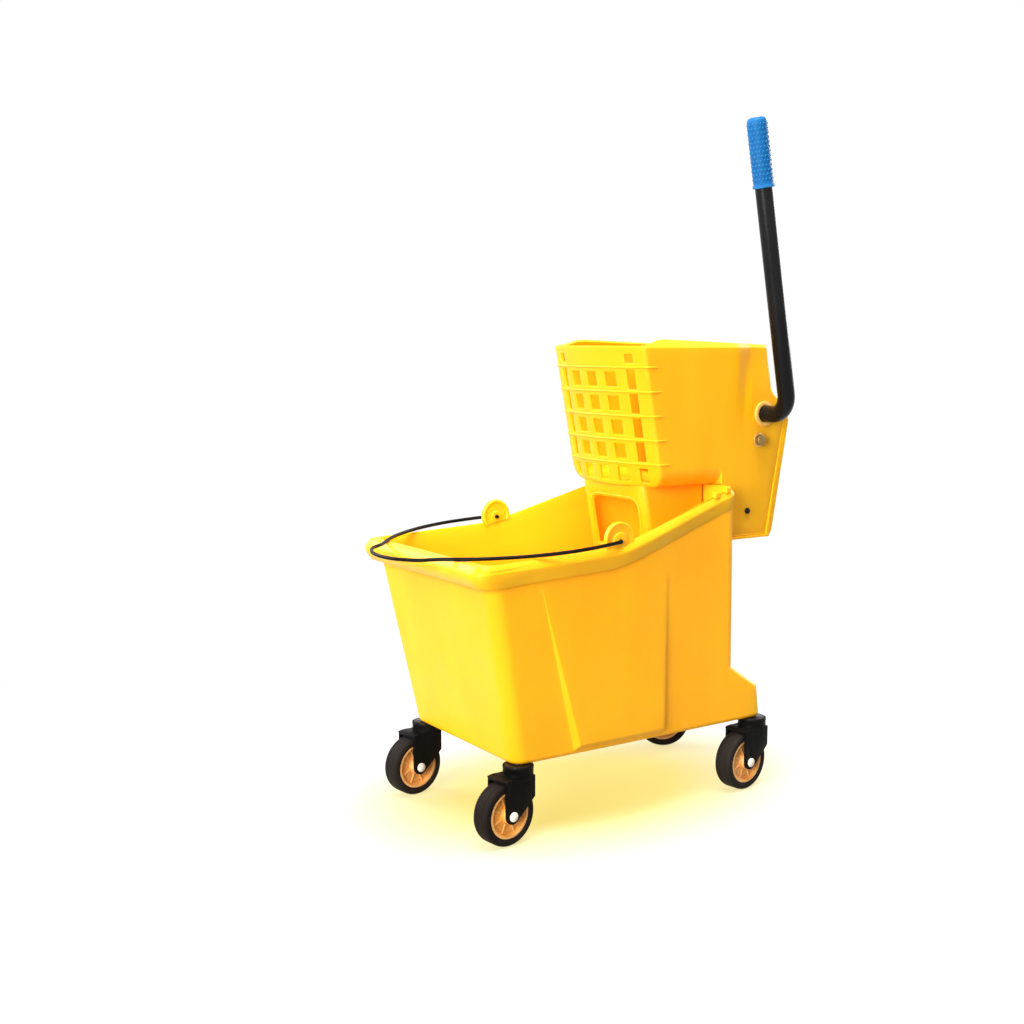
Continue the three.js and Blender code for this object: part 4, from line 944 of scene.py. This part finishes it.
def basket_wall():
    columns, levels = basket_columns(), basket_levels()
    rows = [[(*basket_point(column, z, 0), z) for column in columns] for z in levels]
    rows += [basket_lip(columns, share) for share in (0.0, 0.5, 1.0)]
    levels += [BASKET_LIP_Z] * 3
    count = len(columns)
    verts = [point for row in rows for point in row]
    faces = []
    for r in range(len(rows) - 1):
        for c in range(count - 1):
            if not wall_open(columns[c], columns[c + 1], levels[r], levels[r + 1]):
                a = r * count + c
                faces.append((a, a + 1, a + count + 1, a + count))
    mirrored = [tuple(len(verts) + i for i in reversed(face)) for face in faces]
    far = [(x, -y, z) for x, y, z in verts]
    wall = mesh_object("wringer_wall", verts + far, faces + mirrored)
    modifier(wall, "SOLIDIFY", thickness=WALL * MM, offset=-1.0, use_even_offset=True)
    apply_modifiers(wall)
    return bevel(wall, 0.55, 40, 2)


# The floor's grid: drain slots lie between every second pair of the middle columns.
FLOOR_X = (54.0, 62.0, 70.0, 78.0, 84.0, 92.0, 98.0, 106.0, 112.0, 120.0, 126.0, 134.0, 140.0,
           150.0, HOUSING_FRONT_X + 3)
FLOOR_Y = (-78.5, -70, -57, -44, -30, -16, -3, 3, 16, 30, 44, 57, 70, 78.5)
FLOOR_SLOTS, SLOT_END_Y = range(3, 13, 2), 57


def floor_open(i, j):
    """Whether a drain slot lies in this cell of the floor's grid."""
    return i in FLOOR_SLOTS and max(abs(FLOOR_Y[j]), abs(FLOOR_Y[j + 1])) <= SLOT_END_Y


def basket_floor():
    """The basket's floor with its drain slots."""
    verts, faces = [], []
    for x in FLOOR_X:
        for y in FLOOR_Y:
            bowed = basket_front(403) - BASKET_BOW * (1 - min(1, abs(y) / 80) ** 2) + 1.5
            verts.append((max(x, bowed) if x < 78 else x, y, BASKET_FLOOR_Z + 3.5))
    cols = len(FLOOR_Y)
    for i in range(len(FLOOR_X) - 1):
        for j in range(cols - 1):
            a = i * cols + j
            if not floor_open(i, j):
                faces.append((a, a + cols, a + cols + 1, a + 1))
    floor = mesh_object("wringer_floor", verts, faces)
    clean = bmesh.new()
    clean.from_mesh(floor.data)
    bmesh.ops.dissolve_degenerate(clean, edges=clean.edges, dist=1e-6)
    for face in clean.faces:
        if face.normal.z < 0:
            face.normal_flip()
    clean.to_mesh(floor.data)
    clean.free()
    modifier(floor, "SOLIDIFY", thickness=3.5 * MM, offset=-1.0)
    apply_modifiers(floor)
    return bevel(floor, 0.5, 40, 2)


def rounded_ring(front, rear, half, radius, z, steps=5):
    points = []
    corners = ((rear - radius, half - radius), (front + radius, half - radius),
               (front + radius, radius - half), (rear - radius, radius - half))
    for turn, (cx, cy) in enumerate(corners):
        for k in range(steps + 1):
            a = (turn + k / steps) * math.pi / 2
            points.append((cx + radius * math.cos(a), cy + radius * math.sin(a), z))
    return points


def frame_front(z):
    return FRAME_FRONT_X + (BASKET_FLOOR_Z - z) * BASKET_LEAN


def window_outline(inset=0.0, steps=6):
    """The window's edge as (y, z) points; the top corners are round."""
    half, r = WINDOW_HALF - inset, WINDOW_ROUND - inset
    low, high = WINDOW_Z[0] + inset, WINDOW_Z[1] - inset
    points = [(-half, low), (half, low)]
    for turn, y in enumerate((half - r, -half + r)):
        for k in range(steps + 1):
            a = (turn + k / steps) * math.pi / 2
            points.append((y + r * math.cos(a), high - r + r * math.sin(a)))
    return points


def window_cutter():
    edge = window_outline()
    n = len(edge)
    prism = [(x, y, z) for x in (FRAME_FRONT_X - 10, 100.0) for y, z in edge]
    return mesh_object("window_cutter", prism, [
        tuple(range(n))[::-1], tuple(range(n, 2 * n)), *quads(2, n)])


def lower_frame():
    """The open frame under the basket, and the bead round its window."""
    top, middle = BASKET_FLOOR_Z + 1, 350.0
    rings = [rounded_ring(frame_front(z) + inset, FRAME_REAR_X - inset, FRAME_HALF - inset,
                          7 - inset, z)
             for inset, heights in ((0.0, (FRAME_BOTTOM_Z, middle, top)),
                                    (WALL, (top, middle, FRAME_BOTTOM_Z))) for z in heights]
    verts = [point for ring in rings for point in ring]
    ring = mesh_object("wringer_frame", verts, quads(len(rings), len(rings[0]), True, True))
    cutter = window_cutter()
    modifier(ring, "BOOLEAN", operation="DIFFERENCE", object=cutter, solver="EXACT")
    apply_modifiers(ring)
    bpy.data.objects.remove(cutter)
    bevel(ring, 0.7, 34, 2)
    edge = [(frame_front(z) + 0.2, y, z) for y, z in window_outline(-3.2)]
    return ring, sweep("window_bead", edge + edge[:1], 1.5, 8, caps=False)


def grille_ribs():
    """The raised ribs across the grille, which run out on the side walls."""
    ribs, tips = [], (0.25, 0.6, 0.85, 1.0)
    columns = [c for c in basket_columns() if c[0] in ("front", "corner")]
    for row in range(GRILLE_ROWS):
        z = GRILLE_TOP_Z + (0.5 - row) * GRILLE_ROW_PITCH
        half = [(*basket_point(c, z, -0.2), z) for c in columns]
        end_x, end_y, _ = half[-1]
        half += [(end_x + d, end_y, z) for d in (5, 9.0, 12.0, 14.0)]
        path = [(x, -y, q) for x, y, q in reversed(half)] + half[1:]
        radius = [1.35 * tips[min(i, len(path) - 1 - i, 3)] for i in range(len(path))]
        ribs.append(sweep("rib", path, radius, 8))
    return ribs


def housing_rim():
    """Thickened lower edges of the two side plates."""
    low = HOUSING_BOTTOM_Z + 1.2
    y, start, end = side_face(low) - WALL / 2, HOUSING_FRONT_X + 1.6, rear_face(low) - 1.5
    return [sweep("edge", [(start, side * y, low), (end, side * y, low)], 1.9, 10)
            for side in (-1, 1)]


def wringer_piece(obj, angle, replaces=()):
    finish_piece(obj, "wringer", WRINGER_YELLOW, replaces, angle)


def wringer_pieces():
    wringer_piece(basket_wall(), 42, ("wringer_body",))
    wringer_piece(basket_floor(), 40)
    ring, bead = lower_frame()
    wringer_piece(ring, 36)
    wringer_piece(joined("wringer_ribs", [bead, *grille_ribs(), *housing_rim()]), 50)


def cover_pieces():
    refined("rear_cover", WRINGER_YELLOW, "wringer", "yellow_plastic", 0.9, 30, 3)
    slope = math.atan2(COVER_BULGE[0] - COVER_FOOT[0], COVER_BULGE[1] - COVER_FOOT[1])
    ribs, last = [], 14
    heights = [mix(*COVER_RIB_Z, k / last) for k in range(last + 1)]
    radius = [1.7 * min(1.0, 0.3 + 0.35 * min(k, last - k)) for k in range(last + 1)]
    for y in (-60.0, -30.0, 0.0, 30.0, 60.0):
        path = [(cover_face(z) + 0.1 * math.cos(slope), y, z) for z in heights]
        ribs.append(sweep("rib", path, radius, 10))
    wringer_piece(joined("cover_ribs", ribs), 50)


# ---- lever

def lever_point(along):
    """A point of the handle, measured up from the shaft's height."""
    return (SHAFT[0] - along * math.sin(LEVER_LEAN), LEVER_Y,
            SHAFT[1] + along * math.cos(LEVER_LEAN))


def lever_pieces():
    points = [(SHAFT[0], mix(SHAFT_FAR_Y, LEVER_Y + LEVER_BEND, k / 16), SHAFT[1])
              for k in range(17)]
    for c, s in quarter(14)[1:]:
        x, _, z = lever_point(LEVER_BEND * (1 - c))
        points.append((x, LEVER_Y + LEVER_BEND - LEVER_BEND * s, z))
    points += [lever_point(mix(LEVER_BEND, LEVER_LENGTH - 5, k / 20)) for k in range(1, 21)]
    tube = sweep("lever_tube_fine", points, TUBE_RADIUS, 40)
    bevel(tube, 0.6, 60, 2)
    finish_piece(tube, "lever", PAINT, ("lever_tube",), 50)
    lever_grip()


def grip_pips():
    """Rows of small raised pips round the grip, every second row half a step on."""
    skin = GRIP_RADIUS - 0.78
    verts, faces = [], []
    for row in range(PIP_ROWS):
        z = mix(10.5, GRIP_LENGTH - 9, row / (PIP_ROWS - 1))
        for k in range(PIPS_AROUND):
            a = 2 * math.pi * (k + 0.5 * (row % 2)) / PIPS_AROUND
            base = len(verts)
            for share, rise in ((1.0, 0.0), (0.8, 0.42), (0.45, 0.62)):
                for s in range(PIP_SIDES):
                    b = 2 * math.pi * s / PIP_SIDES
                    turn = a + share * PIP_RADIUS * math.cos(b) / skin
                    verts.append(((skin + rise) * math.cos(turn), (skin + rise) * math.sin(turn),
                                  z + share * PIP_RADIUS * math.sin(b)))
            faces += quads(3, PIP_SIDES, first=base)
            faces.append(tuple(base + 2 * PIP_SIDES + s for s in range(PIP_SIDES)))
            faces.append(tuple(base + s for s in range(PIP_SIDES))[::-1])
    return mesh_object("pips", verts, faces)


def lever_grip():
    """Soft sleeve with a collar, a domed top and rows of small pips."""
    skin, shoulder = GRIP_RADIUS - 0.7, GRIP_LENGTH - 7
    profile = [
        (TUBE_RADIUS + 0.4, 0.6), (TUBE_RADIUS + 1.0, 0.0), (GRIP_RADIUS + 0.2, 0.0),
        (GRIP_RADIUS + 0.6, 0.5), (GRIP_RADIUS + 0.6, 2.6), (GRIP_RADIUS + 0.2, 3.2),
        (GRIP_RADIUS - 0.6, 4.4), (skin, 8.0),
    ]
    profile += [(skin, mix(8.0, shoulder, k / 12)) for k in range(1, 13)]
    profile += [(skin - 5.5 * (1 - c), shoulder + 6.4 * s) for c, s in quarter(7)[1:]]
    profile += [(4.0, GRIP_LENGTH - 0.4), (0.01, GRIP_LENGTH - 0.3)]
    sleeve = lathe("sleeve", profile, 40, axis="z", closed=False)
    grip = joined("lever_grip_fine", [sleeve, grip_pips()])
    foot = Vector(lever_point(LEVER_LENGTH - GRIP_LENGTH)) * MM
    grip.data.transform(Matrix.Translation(foot) @ Matrix.Rotation(-LEVER_LEAN, 4, "Y"))
    finish_piece(grip, "lever", VINYL, ("lever_grip",), 38)


# ---- linkage and small parts

# Paired small parts: node, material, body, slot and the width that its edges are rounded by.
PAIRED_PARTS = (
    ("crank", ZINC, "lever", "zinc_steel", 0.7),
    ("crank_cross_pin", ZINC, "lever", "zinc_steel", 0.4),
    ("follower", ZINC, "followers", "zinc_steel", 0.5),
    ("crank_pin", ZINC, "press_plate", "zinc_steel", 0.4),
    ("lower_pin", ZINC, "press_plate", "zinc_steel", 0.4),
    ("shaft_bush", NYLON, "wringer", "natural_nylon", 0.5),
    ("rest_buffer", RUBBER, "wringer", "black_rubber", 0.8),
    ("pivot_nut", ZINC, "wringer", "zinc_steel", 0.5),
)


def mechanism_pieces():
    refined("press_plate", WRINGER_YELLOW, "press_plate", "yellow_plastic", 0.8, 30, 3)
    for side in ("near", "far"):
        for node, *rest in PAIRED_PARTS:
            refined(f"{node}_{side}", *rest)
    refined("shaft_clip", ZINC, "lever", "zinc_steel", 0.3)
    refined("shaft_plug", BLACK_NYLON, "lever", "black_nylon", 0.5)
    return_spring()
    fasteners()


def return_spring():
    turns, radius, wire = 5, 14.0, 1.3
    low, reach = 52.0 + wire + 0.3, 34.0 - 2 * (wire + 0.3)
    count = turns * 28
    points = []
    for k in range(count + 1):
        a = 2 * math.pi * turns * k / count
        points.append((SHAFT[0] + radius * math.cos(a), -(low + reach * k / count),
                       SHAFT[1] + radius * math.sin(a)))
    coil = sweep("return_spring_fine", points, wire, 12)
    finish_piece(coil, "wringer", SPRING, ("return_spring",), 50)


def fasteners():
    """Pivot bolts on their dished washers, and the cover's screws."""
    face = side_face(PIVOT_Z) + 0.6
    dish = ((4.4, 0.1), (8.9, 0.0), (9.2, 0.3), (9.2, 1.1), (8.8, 1.45), (4.9, 1.6), (4.4, 1.2))
    for side, name in ((-1, "near"), (1, "far")):
        washer = lathe("washer", [(radius, side * (face + out)) for radius, out in dish], 44,
                       (PIVOT_X, 0, PIVOT_Z))
        finish_piece(washer, "wringer", WASHER_ZINC, (f"pivot_washer_{name}",), 30)
        refined(f"pivot_bolt_{name}", BOLT_ZINC, "wringer", "zinc_steel", 0.7, 30, 3)
        refined(f"cover_screw_{name}", PAINT, "wringer", "black_paint", 0.5, 30, 3)


# ---- casters

def caster_matrix(place, wheel=False):
    x, y, heading = CASTERS[place]
    turn = Matrix.Translation((x * MM, y * MM, 0)) @ Matrix.Rotation(math.radians(heading), 4, "Z")
    if wheel:
        turn = turn @ Matrix.Translation((-CASTER_TRAIL * MM, 0, WHEEL_RADIUS * MM))
    return turn


def mirrored_profile(half):
    """A profile from its outer half: (radius, |y|) from the rim's middle outward."""
    return [(r, -y) for r, y in reversed(half)] + [(r, y) for r, y in half]


def tyre():
    half_width, inner, shoulder = TREAD_WIDTH / 2, WHEEL_RADIUS - TYRE_THICKNESS, 4.6
    half = [(WHEEL_RADIUS, 0.7), (WHEEL_RADIUS, 4.6), (WHEEL_RADIUS - 0.45, 4.9),
            (WHEEL_RADIUS - 0.45, 5.5), (WHEEL_RADIUS, 5.8)]
    half += [(WHEEL_RADIUS - shoulder * (1 - c), half_width - shoulder * (1 - s))
             for c, s in quarter(6)]
    half += [(inner + 2.2, half_width), (inner + 1.8, half_width - 0.35),
             (inner + 1.0, half_width - 0.35), (inner + 0.5, half_width - 0.7),
             (inner, half_width - 1.2)]
    return lathe("tyre", mirrored_profile(half), 72)


def hub():
    half = TREAD_WIDTH / 2 - 1
    rim = WHEEL_RADIUS - TYRE_THICKNESS - 0.3
    boss = TREAD_WIDTH / 2 + 1.1
    dish = half - 4.5
    outer = [
        (rim, 0.5), (rim, half - 0.5), (rim - 0.5, half), (rim - 2.4, half),
        (rim - 3.0, half - 0.4),
        (rim - 4.4, dish + 0.7), (rim - 5.2, dish), (rim - 8.2, dish), (rim - 8.7, dish + 0.5),
        (rim - 9.7, dish + 0.5), (rim - 10.2, dish), (12.2, dish), (11.2, dish + 0.4),
        (10.2, dish + 1.6), (9.6, boss - 1.2), (9.0, boss - 0.5), (7.8, boss), (4.9, boss),
        (4.5, boss - 0.4), (4.5, 0.5),
    ]
    parts = [lathe("hub", mirrored_profile(outer), 56)]
    # Low spokes between the boss and the rim on both faces.
    for side in (-1, 1):
        for k in range(8):
            a = 2 * math.pi * (k + 0.5) / 8
            spoke = block("spoke", 10.4, rim - 4.6, -0.9, 0.9, -0.9, 0.9, 0.4)
            spoke.data.transform(Matrix.Translation((0, side * (dish + 0.4) * MM, 0))
                                 @ Matrix.Rotation(a, 4, "Y"))
            parts.append(spoke)
    return joined("hub", parts)


def axle_caps():
    """Domed nylon caps on the ends of the axle."""
    dome = ((0.01, -0.2), (5.6, -0.2), (5.8, 0.1), (5.8, 1.2), (5.5, 1.7), (4.6, 2.2), (3.2, 2.7),
            (1.6, 2.9), (0.01, 3.0))
    return joined("caps", [
        lathe("cap", [(radius, side * (AXLE_HALF + out)) for radius, out in dome], 28)
        for side in (-1, 1)])


# The fork's raceway collar: radius and height above the floor.
FORK_COLLAR = (
    (16.9, 75.6), (17.9, 75.6), (18.5, 76.2), (18.5, 78.6), (18.2, 79.2), (18.2, 88.6),
    (18.5, 89.2), (18.5, 91.0), (17.9, 91.8), (17.4, 91.8), (17.2, 91.4), (17.2, 89.0),
    (16.9, 88.6))


def placed_piece(made, name, place, turned, body, material, replaces, angle):
    made.name = made.data.name = f"{name}_{place}"
    made.data.transform(turned)
    finish_piece(made, body, material, replaces, angle)


def caster_pieces(place):
    wheel, swivel = f"wheel_{place}", f"swivel_{place}"
    stem, hub_centre = caster_matrix(place), caster_matrix(place, True)
    placed_piece(tyre(), "tyre_fine", place, hub_centre, wheel, TYRE,
                 (f"wheel_tyre_{place}",), 32)
    placed_piece(hub(), "hub_fine", place, hub_centre, wheel, HUB,
                 (f"wheel_hub_{place}",), 32)
    placed_piece(axle_caps(), "axle_caps", place, hub_centre, swivel, AXLE_CAP,
                 (), 40)
    refined(f"caster_axle_{place}", ZINC, swivel, "zinc_steel", 0.4)
    refined(f"caster_fork_{place}", BLACK_NYLON, swivel, "black_nylon", 1.1, 30, 3)
    refined(f"caster_mount_{place}", PAINT, "bucket", "black_paint", 0.5)
    placed_piece(lathe("collar", FORK_COLLAR, 44, axis="z"), "fork_collar", place, stem, swivel,
                 BLACK_NYLON, (), 40)


# ---- everything

bucket_pieces()
bail_piece()
wringer_pieces()
cover_pieces()
lever_pieces()
mechanism_pieces()
for caster_place in CASTERS:
    caster_pieces(caster_place)


# ---- stage, light and camera

def stage_material():
    """A pale floor that runs out into plain white; near the object it carries a painted yellow
    pool of bounce light and glows, which lightens the shadow there.
    """
    m = Mat("stage_white")
    path = m.node("ShaderNodeLightPath")
    seen = m.math("MAXIMUM", path.outputs["Is Camera Ray"], path.outputs["Is Glossy Ray"])
    near = m.length(m.placed((3.2, 4.6, 1)))
    # Painted bounce light: the floor's colour turns yellow near the object.
    painted_bounce_tint = m.mixed(m.ramp(near, 0.4, 1.25, 0, 1), (1.0, 0.86, 0.5), (0.97, 0.97, 0.97))
    m.colour(m.mixed(seen, (0.2, 0.2, 0.19), painted_bounce_tint))
    m.roughness(m.ramp(m.noise(30, 3), 0.3, 0.7, 0.5, 0.6))
    m.bump((m.noise(260, 3), 0.05))
    away = m.length(m.coords.outputs["Object"])
    # Painted light: near the object the floor glows yellow, lightening and tinting its shadow; far
    # off the glow is plain white.
    painted_bounce_glow = m.node("ShaderNodeEmission")
    link(m.tree, m.mixed(m.ramp(near, 0.5, 1.35, 0, 1), (1.1, 0.9, 0.22), (1.0, 1.0, 1.0)),
         painted_bounce_glow.inputs["Color"])
    both = m.node("ShaderNodeMixShader")
    link(m.tree, m.math("MULTIPLY", seen, m.ramp(away, 0.5, 1.1, 0.72, 1)), both.inputs["Fac"])
    link(m.tree, m.bsdf.outputs["BSDF"], both.inputs[1])
    link(m.tree, painted_bounce_glow.outputs["Emission"], both.inputs[2])
    output = next(n for n in m.tree.nodes if n.type == "OUTPUT_MATERIAL")
    link(m.tree, both.outputs["Shader"], output.inputs["Surface"])
    return m.material


def build_stage():
    half = 6000
    floor = mesh_object("studio_floor", [(-half, -half, 0), (half, -half, 0), (half, half, 0),
                                         (-half, half, 0)], [(0, 1, 2, 3)])
    floor.data.materials.append(stage_material())
    floor.location.z = -0.0004


def area_light(name, location, size, watts):
    """A square soft lamp that faces the middle of the object."""
    data = bpy.data.lights.new(name, "AREA")
    data.shape = "RECTANGLE"
    data.size = data.size_y = size
    data.energy = watts
    lamp = bpy.data.objects.new(name, data)
    lamp.location = location
    aim = Vector((0.0, 0.0, 0.35)) - Vector(location)
    lamp.rotation_euler = aim.to_track_quat("-Z", "Y").to_euler()
    bpy.context.scene.collection.objects.link(lamp)


def larger(tree, a, b):
    made = tree.nodes.new("ShaderNodeMath")
    made.operation = "MAXIMUM"
    link(tree, a, made.inputs[0])
    link(tree, b, made.inputs[1])
    return made.outputs["Value"]


def build_light():
    area_light("key_front", (-2.62, -1.25, 1.05), 1.6, 134)
    area_light("back_left", (-1.4, 2.4, 1.9), 1.8, 85)
    area_light("top", (-0.3, -0.55, 3.25), 1.6, 150)
    area_light("rear_fill", (2.6, 0.3, 1.4), 1.5, 55)
    world = bpy.data.worlds.new("studio")
    bpy.context.scene.world = world
    world.use_nodes = True
    tree = world.node_tree
    background = next(n for n in tree.nodes if n.type == "BACKGROUND")
    background.inputs["Color"].default_value = (1, 1, 1, 1)
    rays = tree.nodes.new("ShaderNodeLightPath").outputs
    seen = larger(tree, rays["Is Camera Ray"],
                  larger(tree, rays["Is Glossy Ray"], rays["Is Transmission Ray"]))
    strength = tree.nodes.new("ShaderNodeMapRange")
    strength.inputs["To Min"].default_value = 0.2
    strength.inputs["To Max"].default_value = 1.0
    link(tree, seen, strength.inputs["Value"])
    link(tree, strength.outputs["Result"], background.inputs["Strength"])


def build_camera():
    data = bpy.data.cameras.new("photo_camera")
    data.lens, data.sensor_width = 46.93, 36.0
    camera = bpy.data.objects.new("photo_camera", data)
    camera.location = (-0.9929, -1.3728, 0.5804)
    ahead = Vector((0.543, 0.830, -0.125))
    camera.rotation_euler = ahead.to_track_quat("-Z", "Y").to_euler()
    bpy.context.scene.collection.objects.link(camera)
    bpy.context.scene.camera = camera


build_stage()
build_light()
build_camera()
bpy.context.scene.view_settings.view_transform = "Standard"
